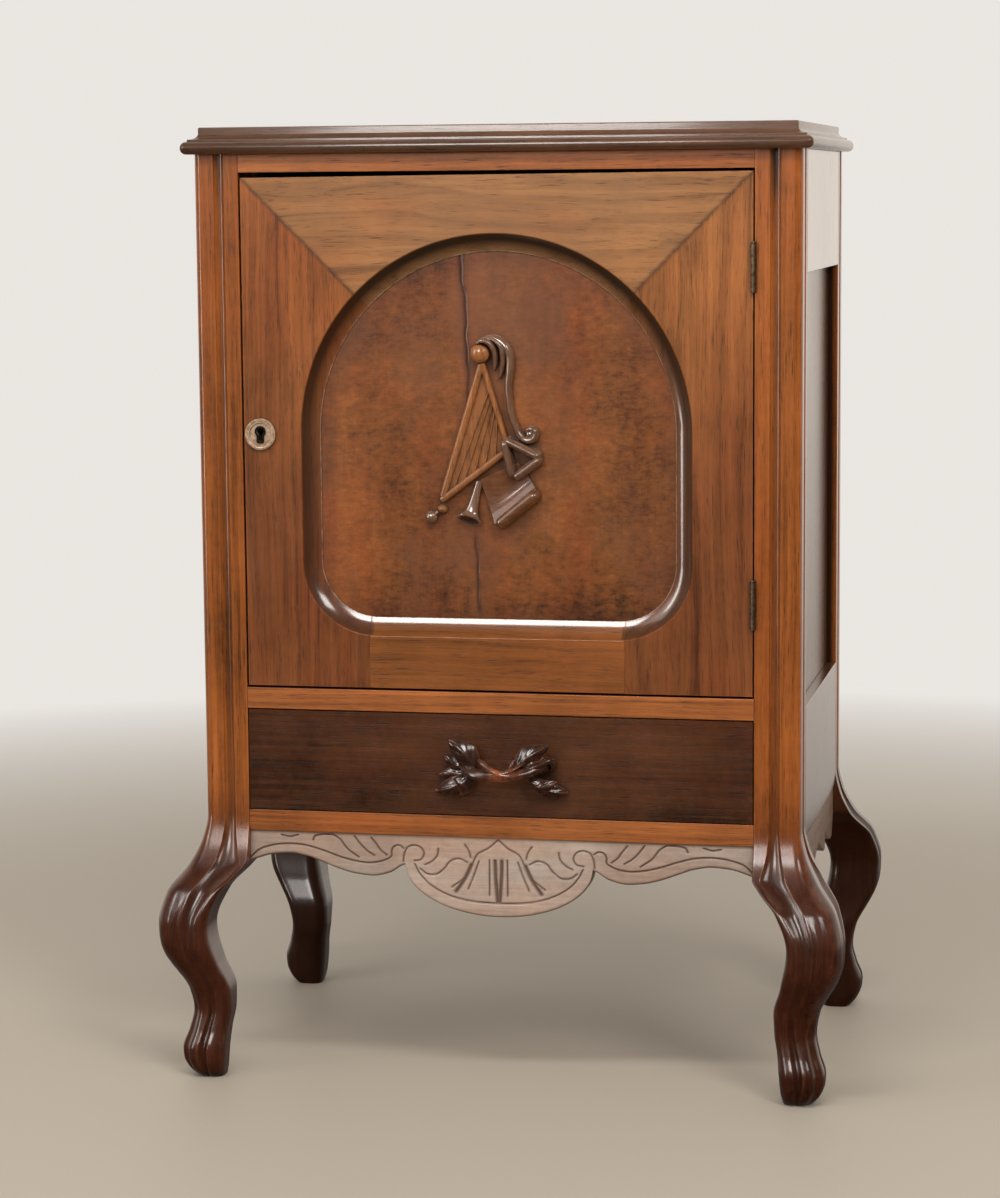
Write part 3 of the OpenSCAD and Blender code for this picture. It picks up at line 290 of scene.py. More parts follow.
# Dark wax lies along the two mitres, the diagonals where height less distance from the middle is constant
def mitreSeam(tree, x, y, z):
    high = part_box("door_top_rail")[1]
    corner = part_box("door_lock_stile")
    seam = 0.0
    for place, sign in ((corner[1][2] + corner[0][0], 1), (high[2] - high[0], -1)):
        across = sums(tree, "SUBTRACT", sums(tree, "ADD", z, times(tree, x, sign)), place)
        line = spread(tree, sums(tree, "ABSOLUTE", across), 0.0045, 0.0004)
        own = spread(tree, times(tree, x, -sign), 0.100, 0.112)
        seam = sums(tree, "MAXIMUM", seam, times(tree, line, own))
    return times(tree, seam, spread(tree, y, frontY * mm + 0.0010, frontY * mm + 0.0004))


# Wood: years' growth as distance from the heart over ring width, plus stretched noise for fibres, pores and
# figure, all added to one tone that picks a colour from dark to light
def woodMaterial(name, colour, low=None, contrast=1.0, **changes):
    look = {**woodBase, **changes}
    tones = toneSet(colour, contrast)
    tree = emptyMaterial(name).node_tree
    place = addNode(tree, "TexCoord").outputs["Object"]
    x, y, z = addNode(tree, "SeparateXYZ", {0: place}).outputs
    order = {"x": (x, y, z), "y": (y, x, z), "z": (z, x, y)}[look["grain"]]
    turned = addNode(tree, "CombineXYZ", dict(enumerate(order))).outputs[0]
    p = vectors(tree, "ADD", turned, (look["shift"], *look["pith"]))

    wander = vectors(tree, "SUBTRACT", grainNoise(tree, p, (2.6, 9, 9), 3.0, output=1), (0.5,) * 3)
    q = vectors(tree, "ADD", p, vectors(tree, "MULTIPLY", wander, (look["warp"],) * 3))
    distance = vectors(tree, "LENGTH", vectors(tree, "MULTIPLY", q, (0, 1, 1)), output="Value")
    saw = sums(tree, "FRACT", sums(tree, "DIVIDE", distance, look["ring"]))
    ring = colourRamp(tree, saw, [(0.0, (0,) * 3), (1.0, (0,) * 3), (0.55, (0.25,) * 3), (0.86, (1,) * 3)])
    fibre = grainNoise(tree, q, (9, 420, 420), 4.0, 0.62)
    pore = spread(tree, grainNoise(tree, q, (45, 1300, 1300), 2.0), 0.58, 0.72)
    patch = grainNoise(tree, p, (3.5, 8, 8), 4.0, 0.55)
    figure = grainNoise(tree, q, (26, 12, 12), 3.0)
    mottle = grainNoise(tree, p, (110, 110, 110), 5.0, 0.7)
    streak = grainNoise(tree, q, (2.4, 170, 170), 4.0, 0.6)
    burr = grainNoise(tree, q, (340, 120, 120), 4.0, 0.75)
    tone = 0.5
    for key, value, middle in (
            ("fibre", fibre, 0.5), ("patch", patch, 0.5), ("figure", figure, 0.5), ("ringDark", ring, 0.4),
            ("pore", pore, 0.0), ("mottle", mottle, 0.5), ("streak", streak, 0.5), ("burr", burr, 0.5)):
        sign = -1 if key in ("ringDark", "pore") else 1  # these two only darken
        tone = sums(tree, "ADD", tone, swing(tree, value, middle, 2 * sign * look[key]))
    tone = sums(tree, "ADD", tone, 0.03, clamp=True)
    colourNow = toneRamp(tree, tone, tones)
    if low:
        edge = sums(tree, "ADD", z, swing(tree, patch, 0.5, low["blur"]))
        lowColour = toneRamp(tree, tone, toneSet(low["colour"], contrast))
        colourNow = blend(tree, spread(tree, edge, low["from"], low["to"]), lowColour, colourNow)
    redder = spread(tree, grainNoise(tree, q, (5, 22, 22), 3.0), 0.42, 0.66, 0.0, look["red"])
    colourNow = blend(tree, redder, colourNow, rgb((0.92, 0.72, 0.62)), "MULTIPLY")
    greyer = spread(tree, grainNoise(tree, p, (7, 11, 11), 4.0, 0.6), 0.48, 0.66, 0.0, look["grey"])
    colourNow = blend(tree, greyer, colourNow, rgb(look["greyTone"]))

    # worn edges show lighter wood: the surface's own direction set against a rounded one
    normal = addNode(tree, "NewGeometry").outputs["Normal"]
    rounded = addNode(tree, "Bevel", {"Radius": 0.0013}, samples=4).outputs[0]
    same = vectors(tree, "DOT_PRODUCT", normal, rounded, output="Value")
    edgeWear = times(tree, spread(tree, same, 0.995, 0.90), spread(tree, mottle, 0.42, 0.66))
    pieceWear = addNode(tree, "Attribute", attribute_name="wear").outputs["Fac"]
    pieceWear = times(tree, pieceWear, spread(tree, mottle, 0.36, 0.62))
    wear = sums(tree, "ADD", edgeWear, pieceWear, clamp=True)
    colourNow = blend(tree, times(tree, wear, look["wear"]), colourNow, rgb(look["bare"] or tones[3]))

    # grime and painted shade darken corners and hollows: occlusion by nearby surfaces and the pieces' own
    # values
    shade = addNode(tree, "AmbientOcclusion", {"Distance": 0.012}, samples=4).outputs["AO"]
    corner = spread(tree, shade, 0.70, 0.25)
    pieceGrimeAndShade = addNode(tree, "Attribute", attribute_name="grime").outputs["Fac"]
    grime = sums(tree, "MULTIPLY", sums(tree, "MAXIMUM", corner, pieceGrimeAndShade), look["grime"], clamp=True)
    dirtAndShade = look["dirtAndShade"] or tuple(c * 0.35 for c in tones[0])
    coat = look["coat"]
    if look["hollow"]:
        # on the door, the hollow's painted shade and the mitres' dark wax join them
        grime = sums(tree, "MAXIMUM", grime, times(tree, coveShade(tree, x, y, z), look["hollow"]))
        seam = times(tree, mitreSeam(tree, x, y, z), spread(tree, mottle, 0.35, 0.62, 0.25, 0.75))
        grime = sums(tree, "MAXIMUM", grime, seam)
        coat = spread(tree, y, frontY * mm + 0.0005, frontY * mm + 0.0020, 0.15, 1.0)
    colourNow = blend(tree, grime, colourNow, rgb(dirtAndShade))
    if look["hollow"]:
        # a pale line along the cove's inner edge: rubbed wood with a painted highlight
        lip = times(tree, coveLip(tree, x, y), spread(tree, mottle, 0.40, 0.60, 0.15, 0.8))
        colourNow = blend(tree, lip, colourNow, rgb(look["lip"]))

    rough = sums(tree, "ADD", times(tree, pore, 0.15), look["rough"])
    rough = sums(tree, "ADD", rough, swing(tree, patch, 0.5, 0.2))
    rough = sums(tree, "ADD", rough, times(tree, grime, 0.15), clamp=True)
    height = sums(tree, "SUBTRACT", times(tree, fibre, 0.6), pore)
    bump = {"Height": height, "Strength": look["bump"], "Distance": 0.0003}
    shader = addNode(tree, "BsdfPrincipled", {
        "Base Color": colourNow, "Roughness": rough, "Normal": addNode(tree, "Bump", bump).outputs[0],
        "Specular IOR Level": look["gloss"], "Coat Weight": coat, "Coat Roughness": look["coatRough"],
        "Coat IOR": look["coatIndex"]})
    addNode(tree, "OutputMaterial", {0: shader.outputs[0]})


# Metal with a dark patina: noise mixes bright and dark metal and their roughness
def metalMaterial(name, bright, dark, rough, metal=0.9, gloss=0.5):
    tree = emptyMaterial(name).node_tree
    patina = grainNoise(tree, addNode(tree, "TexCoord").outputs["Object"], (300,) * 3, 5.0, 0.65)
    colour = blend(tree, spread(tree, patina, 0.35, 0.65), rgb(dark), rgb(bright))
    shade = addNode(tree, "AmbientOcclusion", {"Distance": 0.004}, samples=4).outputs["AO"]
    colour = blend(tree, spread(tree, shade, 0.85, 0.4), colour, rgb(tuple(c * 0.3 for c in dark)))
    roughness = spread(tree, patina, 0.3, 0.7, rough + 0.2, rough)
    bump = addNode(tree, "Bump", {"Height": patina, "Strength": 0.25, "Distance": 0.0002}).outputs[0]
    shader = addNode(tree, "BsdfPrincipled", {
        "Base Color": colour, "Roughness": roughness, "Normal": bump, "Metallic": metal,
        "Specular IOR Level": gloss})
    addNode(tree, "OutputMaterial", {0: shader.outputs[0]})


darkLeg = {"colour": (0.058, 0.016, 0.007), "from": 0.200, "to": 0.285, "blur": 0.05}
# the stiles are painted darker towards the bottom, in part as painted shade where less light falls
darkStile = {"colour": (0.20, 0.062, 0.018), "from": 0.52, "to": 0.72, "blur": 0.16}
woodLooks = {
    "postWalnut": dict(colour=(0.315, 0.091, 0.017), low=darkLeg, contrast=1.2, rough=0.28, coat=0.65,
        bare=(0.40, 0.15, 0.055), coatRough=0.17, mottle=0.16, streak=0.42, ringDark=0.04, pith=(0.4, 0.3)),
    "railWalnut": dict(colour=(0.298, 0.094, 0.023), contrast=1.2, grain="x", pith=(0.35, -0.2), fibre=0.36,
        streak=0.50),
    "topWalnut": dict(colour=(0.100, 0.052, 0.032), contrast=1.2, grain="x", pith=(0.1, -0.8), rough=0.26,
        wear=0.8, coat=0.6, coatRough=0.13, streak=0.3),
    "lockStileWalnut": dict(colour=(0.312, 0.101, 0.023), low=darkStile, pith=(0.30, 0.21), hollow=0.95,
        coatIndex=1.7, warp=0.03, streak=0.42, patch=0.62, grey=0.25, greyTone=(0.24, 0.095, 0.040), red=0.7),
    "hingeStileWalnut": dict(colour=(0.325, 0.119, 0.031), low=darkStile, pith=(-0.16, 0.25), shift=0.7,
        hollow=0.95, coatIndex=1.7, warp=0.03, streak=0.36, patch=0.62, ringDark=0.12),
    "doorTopWalnut": dict(colour=(0.300, 0.132, 0.045), grain="x", pith=(0.30, -0.71), fibre=0.26, pore=0.24,
        ringDark=0.12, ring=0.008, warp=0.045, streak=0.40, hollow=0.97, red=0.6, grey=0.45,
        greyTone=(0.24, 0.125, 0.060), patch=0.42, coatIndex=1.7),
    "doorLowWalnut": dict(colour=(0.235, 0.075, 0.016), grain="x", pith=(0.24, -0.33), shift=0.4, hollow=0.9,
        coatIndex=1.7, streak=0.3, warp=0.03),
    "panelWalnut": dict(colour=(0.222, 0.072, 0.017), contrast=1.25, pith=(0.05, 0.3), ringDark=0.0,
        mottle=0.38, burr=0.44, patch=0.90, figure=0.25, fibre=0.06, streak=0.06, pore=0.04, rough=0.38,
        coat=0.35, red=0.9, grey=0.55, greyTone=(0.15, 0.066, 0.034), dirtAndShade=(0.040, 0.012, 0.006)),
    "drawerWalnut": dict(colour=(0.088, 0.031, 0.012), contrast=1.2, grain="x", pith=(0.2, -0.2), rough=0.30,
        coat=0.4, patch=0.9, mottle=0.26, streak=0.22, fibre=0.26, ringDark=0.03, red=0.8),
    "sideWalnut": dict(colour=(0.14, 0.062, 0.032), pith=(0.15, 0.1), rough=0.22, coat=1.0, coatRough=0.14,
        bump=0.1),
    "sidePanelWalnut": dict(colour=(0.11, 0.048, 0.024), pith=(0.15, 0.1), rough=0.26, coat=0.7,
        coatRough=0.18, bump=0.1),
    # the front apron's pale pinkish grey is partly painted sheen, lighter than the wood itself
    "apronWalnutWithSheen": dict(colour=(0.49, 0.395, 0.335), contrast=0.60, grain="x", rough=0.42, coat=0.1,
        pore=0.10, mottle=0.30, ringDark=0.0, streak=0.1, red=0.8, grime=0.95, dirtAndShade=(0.115, 0.062, 0.040)),
    "sideApronWalnut": dict(colour=(0.30, 0.20, 0.15), contrast=0.8, grain="y", rough=0.42, coat=0.3),
    "harpWalnut": dict(colour=(0.27, 0.102, 0.034), contrast=1.4, rough=0.26, wear=0.7, coat=0.6,
        coatRough=0.12, ringDark=0.0, mottle=0.25, grey=0.3, bare=(0.44, 0.20, 0.085),
        dirtAndShade=(0.030, 0.012, 0.006)),
    "carvedWalnut": dict(colour=(0.160, 0.083, 0.049), contrast=1.3, rough=0.24, wear=0.7, coat=1.0,
        coatIndex=1.9, coatRough=0.13, pore=0.1, ringDark=0.0, mottle=0.3, bare=(0.34, 0.20, 0.12),
        dirtAndShade=(0.016, 0.007, 0.004)),
    "sheetWalnut": dict(colour=(0.140, 0.058, 0.025), contrast=1.3, rough=0.24, wear=0.7, coat=0.8,
        coatIndex=1.8, coatRough=0.10, ringDark=0.0, mottle=0.3, grain="x", bare=(0.34, 0.18, 0.095),
        dirtAndShade=(0.016, 0.007, 0.004)),
    "handleWalnut": dict(colour=(0.050, 0.021, 0.013), contrast=1.4, rough=0.28, wear=0.9, coat=1.0,
        coatRough=0.18, pore=0.1, ringDark=0.0, bump=0.15, bare=(0.36, 0.105, 0.040)),
    "plainWood": dict(colour=(0.35, 0.24, 0.14), contrast=0.7, grain="x", rough=0.62, coat=0.0),
    "plainUprightWood": dict(colour=(0.35, 0.24, 0.14), contrast=0.7, rough=0.62, coat=0.0, shift=0.3),
}
metalLooks = {
    "agedBrass": dict(bright=(0.20, 0.135, 0.080), dark=(0.060, 0.038, 0.023), rough=0.36),
    "rubbedBrass": dict(bright=(0.66, 0.47, 0.33), dark=(0.30, 0.18, 0.105), rough=0.30, metal=0.5),
    # flat black that stands for shade in the keyhole
    "keyholeShadeBlack": dict(bright=(0.012, 0.010, 0.007), dark=(0.006, 0.005, 0.004), rough=0.6, metal=0.0,
        gloss=0.08),
    "darkIron": dict(bright=(0.20, 0.19, 0.18), dark=(0.07, 0.06, 0.055), rough=0.45),
}
for name, look in woodLooks.items():
    woodMaterial(name, **look)
for name, look in metalLooks.items():
    metalMaterial(name, **look)
print("materials ready")

finishes = [  # material, width of the softened edges in millimetres, nodes
    ("railWalnut", 0.4, "top_front_rail"),
    ("railWalnut", 0.6, "middle_rail lower_rail"),
    ("sideWalnut", 0.5, "left_top_rail right_top_rail left_bottom_rail right_bottom_rail"),
    ("sidePanelWalnut", 0, "left_panel right_panel"),
    ("sideApronWalnut", 1.2, "left_apron right_apron"),
    ("doorTopWalnut", 0.5, "door_top_rail"),
    ("lockStileWalnut", 0.5, "door_lock_stile"),
    ("hingeStileWalnut", 0.5, "door_hinge_stile"),
    ("doorLowWalnut", 0.5, "door_bottom_rail"),
    ("drawerWalnut", 0.8, "drawer_front"),
    ("plainWood", 0, "drawer_bottom"),
    ("plainWood", 0.3, "back_panel cabinet_floor"),
    ("plainWood", 0.4, "rear_top_rail rear_bottom_rail left_drawer_runner right_drawer_runner"),
    ("plainWood", 0.4, "drawer_stops corner_blocks"),
    ("plainWood", 0.5, "shelf_1 shelf_2 shelf_3 shelf_4 shelf_5"),
    ("plainWood", 0.5, "drawer_left_side drawer_right_side drawer_back"),
    ("plainUprightWood", 0.3, "left_shelf_rack right_shelf_rack"),
    ("agedBrass", 0, "frame_screws door_screws"),
    ("agedBrass", 0.12, "upper_hinge_frame_leaf lower_hinge_frame_leaf"),
    ("agedBrass", 0.12, "upper_hinge_door_leaf lower_hinge_door_leaf"),
    ("agedBrass", 0.15, "strike_plate"),
    ("agedBrass", 0.2, "lock_case"),
    ("agedBrass", 0.3, "upper_hinge_pin lower_hinge_pin"),
    ("rubbedBrass", 0.2, "escutcheon"),
    ("darkIron", 0, "top_screws back_nails handle_screws"),
    ("darkIron", 0.3, "lock_bolt"),
]


# A frame piece gets its material and, from modifiers, one skin without loose seams and softened edges
def finishNode(node, material, soften):
    if not node.material_slots:
        node.data.materials.append(material)
    node.material_slots[0].material = material
    node.data.polygons.foreach_set("use_smooth", [True] * len(node.data.polygons))
    if "custom_normal" in node.data.attributes:
        node.data.attributes.remove(node.data.attributes["custom_normal"])
    node.modifiers.new("weld", "WELD").merge_threshold = 0.00001
    flats = node.modifiers.new("flats", "DECIMATE")
    flats.decimate_type = "DISSOLVE"
    flats.angle_limit = math.radians(0.5)
    edges = node.modifiers.new("edges", "BEVEL")
    edges.width = max(soften, 0.05) * mm
    edges.segments = 2
    edges.limit_method = "ANGLE"
    edges.angle_limit = math.radians(35)
    edges.use_clamp_overlap = True
    node.modifiers.new("shading", "WEIGHTED_NORMAL").keep_sharp = True


for material, soften, names in finishes:
    for nodeName in names.split():
        finishNode(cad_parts[nodeName], bpy.data.materials[material], soften)
print("frame pieces finished")

# Top board

board = {
    "noseRadius": 5.5, "ledge": [(6.0, 11.1), (6.15, 12.7), (6.5, 13.0)],  # set in from the edge, height
    "coveStart": (6.8, 13.0), "coveEnd": (14.0, 18.0), "tier": [(14.0, 22.2), (14.3, 23.1), (15.2, 23.5)],
    "cornerRadius": 5.0, "middle": 60.0,
}


# The moulded edge in section (a half circle for the nose, a quarter ellipse for the cove), carried round the
# left side, the front and the right side; at each step in from the edge the plan is a rectangle with rounded
# corners
def mouldedBoard():
    low, high = cornersOf("top_board")
    a = np.radians(np.linspace(-90, 90, 15))
    nose = board["noseRadius"] * np.stack([1 - np.cos(a), 1 + np.sin(a)], 1)
    b = np.radians(np.linspace(0, 90, 9))
    (d0, z0), (d1, z1) = board["coveStart"], board["coveEnd"]
    cove = np.stack([d0 + (d1 - d0) * np.sin(b), z1 - (z1 - z0) * np.cos(b)], 1)
    foot, crown = [(board["middle"], 0)], [(board["middle"], high[2] - low[2])]
    section = np.concatenate([foot, nose, board["ledge"], cove, board["tier"], crown])
    inward = section[None, :, 0]
    r = np.maximum(board["cornerRadius"] - inward, 0.2)
    turn = np.radians(np.linspace(0, 90, 7))[:, None]
    side, front = high[0] - inward - r, low[1] + inward + r
    corner = np.stack([side + r * np.cos(turn), front - r * np.sin(turn)], -1)
    back = np.stack([side + r, np.full(inward.shape, high[1])], -1)
    right = np.concatenate([back, corner])
    plan = np.concatenate([right, right[::-1] * [-1, 1]])
    height = np.broadcast_to(low[2] + section[None, :, 1:], plan.shape[:2] + (1,))
    points = np.concatenate([plan, height], -1)
    count, cols = plan.shape[:2]
    last = (count - 1) * cols
    faces = gridFaces(count, cols)
    faces += [[i * cols + cols - 1 for i in range(count)], [i * cols for i in range(count)]]
    faces += [list(range(cols)) + list(range(last + cols - 1, last - 1, -1))]
    return points.reshape(-1, 3), faces


makePiece("top_board_moulded", mouldedBoard(), "carcase", "topWalnut", "dark_top", ["top_board"], sharp=35)
print("top board made")

# Legs

leg = {
    "post": 40.6,  # width of the square post
    "points": (6, 8, 8, 10, 18, 12, 11),  # in the seven parts of half an outline
    # painted shadow of the top's overhang at the top of the posts' coves
    "overhangShadow": (0.4, 0.8),  # at the top of the left and of the right post's cove
    "leafInset": 0.9,  # of the hinge leaves' seats behind the post's face
    "pocket": 12.0, "play": 0.8,  # depth of the bolt's pocket and the room round the bolt
}
legStations = {  # height and value; all but the first two are shares of the leg's width at that height
    "out": [(-5, 7.5), (0, 10.8), (4, 15.3), (10, 19.6), (18, 22.6), (27, 23.2), (45, 17.6), (62, 14.2),
            (80, 17.3), (89, 21), (98, 26.2), (108, 32), (117, 36.2), (126, 38.5), (136, 39.3), (145, 39.4),
            (172, 33), (196, 15.5), (220, 4), (240, 0), (850, 0)],  # swell beyond the post
    "inside": [(-5, 12), (0, 13.4), (10, 15.5), (27, 17), (45, 18.8), (62, 21.5), (80, 22), (110, 14),
               (143, 8.4), (172, 18), (190, 34), (200, 40.6), (220, 40.6), (850, 40.6)],  # within the post
    "stripEdge": [(0, 0.66), (40, 0.66), (90, 0.72), (150, 0.82), (185, 0.90), (198, 0.88), (210, 0.80),
                  (225, 0.72), (240, 0.68), (850, 0.68)],
    "coveEdge": [(0, 0.44), (40, 0.43), (90, 0.47), (150, 0.50), (200, 0.46), (240, 0.443), (850, 0.443)],
    "coveDepth": [(0, 0.035), (14, 0.075), (38, 0.085), (62, 0.055), (88, 0.022), (110, 0.022), (150, 0.052),
                  (190, 0.080), (240, 0.084), (850, 0.084)],
    "outerRound": [(0, 0.42), (30, 0.40), (75, 0.38), (110, 0.42), (150, 0.40), (200, 0.26), (240, 0.172),
                   (850, 0.172)],
    "sideRound": [(0, 0.34), (30, 0.34), (75, 0.26), (110, 0.22), (150, 0.16), (190, 0.05), (215, 0.02),
                  (850, 0.02)],
    "innerRound": [(0, 0.36), (30, 0.36), (75, 0.30), (110, 0.28), (150, 0.20), (190, 0.05), (215, 0.015),
                   (850, 0.015)],
    "groove": [(0, 0.03), (12, 0.05), (32, 0.05), (55, 0.04), (75, 0.02), (100, 0.0), (850, 0.0)],
    "ridge": [(0, 0.0), (92, 0.0), (120, 0.006), (140, 0.010), (158, 0.006), (172, 0.0), (850, 0.0)],
}


# Seats sunk in a front post's inner face, as depth, place from front to back and height: the strike plate's
# and the bolt's pocket in the left post, the hinge leaves' in the right one
def postSeats(right):
    if right:
        leaves = [cornersOf(name) for name in ("lower_hinge_frame_leaf", "upper_hinge_frame_leaf")]
        return [(high[0] - postX, leg["leafInset"] - halfD, high[1], low[2], high[2]) for low, high in leaves]
    (plateBack, y0, z0), (_, y1, z1) = cornersOf("strike_plate")
    low, high = cornersOf("lock_bolt")
    low, high = low - leg["play"], high + leg["play"]
    return [(-plateBack - postX, y0, y1, z0, z1), (leg["pocket"], low[1], high[1], low[2], high[2])]


# Half an outline followed by its other half in reverse
def withMirror(half, other):
    return np.concatenate([half, other[:, -2:0:-1]], 1)


# One leg with its post. At each height the outline is a square whose corners are quarter circles, with a cove
# beside the outer corner; shallow flutes shape the knee and a groove parts the toe. Half of it has seven
# parts: inner corner, back, side corner, strip, cove, bead and outer corner
def legShape(right, rear):
    seats = [] if rear else postSeats(right)
    brink = [-0.05, 0.05]  # a pair of rows or columns at each side of a seat's edge
    z = [np.arange(0, 246, 2.0), [258, 300, 450, 620], bodyTop - np.array([70, 50, 30, 14, 0])]
    z = np.union1d(np.concatenate(z), [edge + d for seat in seats for edge in seat[3:] for d in brink])
    at = {key: throughStations(z, stations)[:, None] for key, stations in legStations.items()}
    faceRound, postRound = at["innerRound"][-1, 0], at["sideRound"][-1, 0]
    steps = [np.arange(count) / (count - (i == 6)) for i, count in enumerate(leg["points"])]
    steps[1] = np.union1d(steps[1], [
        (1 - faceRound - (halfD + edge + d) / leg["post"]) / (1 - faceRound - postRound)
        for seat in seats for edge in seat[1:3] for d in brink])
    part = np.concatenate([np.full(len(step), i) for i, step in enumerate(steps)])[None]
    parts = [part == i for i in range(7)]
    q = np.concatenate(steps)[None]
    ri, rs, ro = at["innerRound"], at["sideRound"], at["outerRound"]
    e1, e2 = at["stripEdge"], at["coveEdge"]
    eighth = math.pi / 4
    u = np.select(parts, [
        1 - ri + ri * np.cos(eighth * (1 - q)), 1 + 0 * ri * q, 1 - rs + rs * np.cos(2 * eighth * q),
        1 - rs + (e1 - 1 + rs) * q, e1 + (e2 - e1) * q, e2 + (ro - e2) * q, ro - ro * np.sin(eighth * q)])
    softness = 0.55 + 1.1 * smoothStep(215, 150, z)[:, None]
    v = np.select(parts, [
        1 - ri + ri * np.sin(eighth * (1 - q)), 1 - ri + (rs - 1 + ri) * q, rs - rs * np.sin(2 * eighth * q),
        0 * rs * q, at["coveDepth"] * np.sin(math.pi * q) ** softness, 0 * rs * q,
        ro - ro * np.cos(eighth * q)])
    flutes = bell(u, 0.44, 0.025) + bell(u, 0.33, 0.03) + 0.7 * bell(u, 0.24, 0.03)
    v = v + at["ridge"] * flutes * (v < 0.3)
    push = at["groove"] * bell(np.abs(u - v) / math.sqrt(2), 0, 0.11) * (u + v < 1)
    u, v = withMirror(u + push, v + push), withMirror(v + push, u + push)
    width = at["out"] + at["inside"]
    x = halfW + at["out"] - u * width
    y = halfD + at["out"] - v * width
    flat = np.abs(x - postX) < 0.01
    for depth, y0, y1, z0, z1 in seats:
        inSeat = (-y > y0) & (-y < y1) & ((z > z0) & (z < z1))[:, None]
        x = np.where(flat & inSeat, postX + depth, x)
    rings = np.stack([x if right else -x, y if rear else -y, z[:, None] + 0 * u], -1)

    along = part + q
    # Painted shade for the grime values: darker in the cove and the toe's groove, the painted shadow of the
    # top's overhang on the front posts, and on the rear legs darker inner corner and back face above 280 mm
    # and a darker leg below 235 mm
    hollow = bell(along, 4.5, 0.36) * at["coveDepth"] / at["coveDepth"][-1, 0] + 5 * push
    overhangShadow = leg["overhangShadow"][right] * bell(along, 4.4, 0.50) * smoothStep(bodyTop - 62, bodyTop - 12, z)[:, None]
    rearShade = 1.33 * (along < 2) * (z[:, None] > 280) + 0.8 * (z[:, None] < 235)
    grime = np.maximum(hollow * 0.55 + overhangShadow * (1 - rear), rearShade * rear)
    edge = bell(along, 4.0, 0.10) + bell(along, 5.0, 0.10) + 0.6 * bell(along, 6.9, 0.25)
    edge = edge * (0.20 + 0.25 * smoothStep(225, 190, z) * smoothStep(150, 185, z))[:, None]
    wear = edge + 0.7 * bell(z[:, None], 34, 13) * (bell(along, 5.6, 0.35) + bell(along, 3.6, 0.3))
    return skin(rings), np.clip(withMirror(grime, grime), 0, 1.33), np.clip(withMirror(wear, wear), 0, 1)


for i, nodeName in enumerate(("front_left_leg", "front_right_leg", "rear_left_leg", "rear_right_leg")):
    shape, grime, wear = legShape(right=i % 2, rear=i // 2)
    name = nodeName.replace("_leg", "_cabriole")
    makePiece(name, shape, "carcase", "postWalnut", "post_walnut", [nodeName], wear, grime, 50)
print("legs made")

# Front apron

apron = {
    "thick": 18, "top": cornersOf("front_apron")[1][2], "face": cornersOf("front_apron")[0][1],
    "rows": 84, "lobeHalf": 84.5, "lobeTop": 199, "lobeDrop": 45,  # the middle lobe is half an ellipse
    "wing": [(84.5, 199), (88, 197.8), (99, 191), (115, 187.5), (130, 188.8), (145, 192.5), (160, 198),
             (175, 203.2), (190, 205.5), (206, 204.2), (postX, 198)],
    "lines": [  # incised lines of the right half: x, z
        [(0, 167), (9, 167.3), (24, 168.2), (40.5, 171.5), (54, 177), (64.6, 184), (72, 192.5), (76, 200)],
        [(229, 200), (219, 208.5), (205, 213.2), (191, 214.8), (175, 213.6), (160, 209.6), (145, 204.6),
         (130, 201), (116, 200), (102, 203.4), (97, 207), (97, 211), (95, 215), (90, 216.5), (86, 214)],
        [(76.5, 203), (70, 204.5), (67.5, 209.5), (70, 214.8), (76, 217), (82.5, 214.8), (85.5, 209),
         (86.3, 202)],
        [(71, 196), (64.5, 191.6), (57, 191.4), (49.3, 196.7), (43.2, 204), (35.6, 206.2), (28, 203)],
        [(54.4, 214.5), (55.2, 209.2), (61, 202.5), (66.6, 199.8)],
        [(30.2, 219), (26.5, 213), (25, 207.5)],
        [(0, 224.4), (8.5, 216.8), (19, 210.5), (23.7, 201.5), (31.3, 189), (42, 180.5)],
        [(17.6, 204.6), (22.5, 191), (27.6, 179)],
        [(8, 206), (8.2, 174)],
        [(150.5, 224.5), (144.6, 220.5), (138, 212.3), (127.3, 204.6)],
        [(131, 223.5), (126, 217), (120, 211), (112.8, 206.5)],
        [(115.6, 222.5), (111, 217), (106.7, 211.2), (101.4, 207.2)],
        [(169, 218.8), (167.6, 221.9), (163, 223.8), (151, 224.6)],
        [(198, 222.4), (190.6, 221.2), (183, 223)],
    ],
    "gouges": [[(24.5, 201), (29.5, 190), (38.5, 176.5)], [(3.0, 205), (2.6, 192), (0.9, 168)]],  # wider cuts
    "lineWidth": 0.75, "lineDepth": 1.4, "gougeWidth": 1.6, "gougeDepth": 2.0,
}


# Distance from each point of a grid to a line of short straight pieces
def distanceTo(x, z, points):
    path = smoothPath(points, 12 * len(points))
    nearest = np.full(x.shape, 1e9)
    for a, b in zip(path[:-1], path[1:]):
        d = b - a
        t = np.clip(((x - a[0]) * d[0] + (z - a[1]) * d[1]) / max(d @ d, 1e-9), 0, 1)
        nearest = np.minimum(nearest, np.hypot(x - a[0] - t * d[0], z - a[1] - t * d[1]))
    return nearest


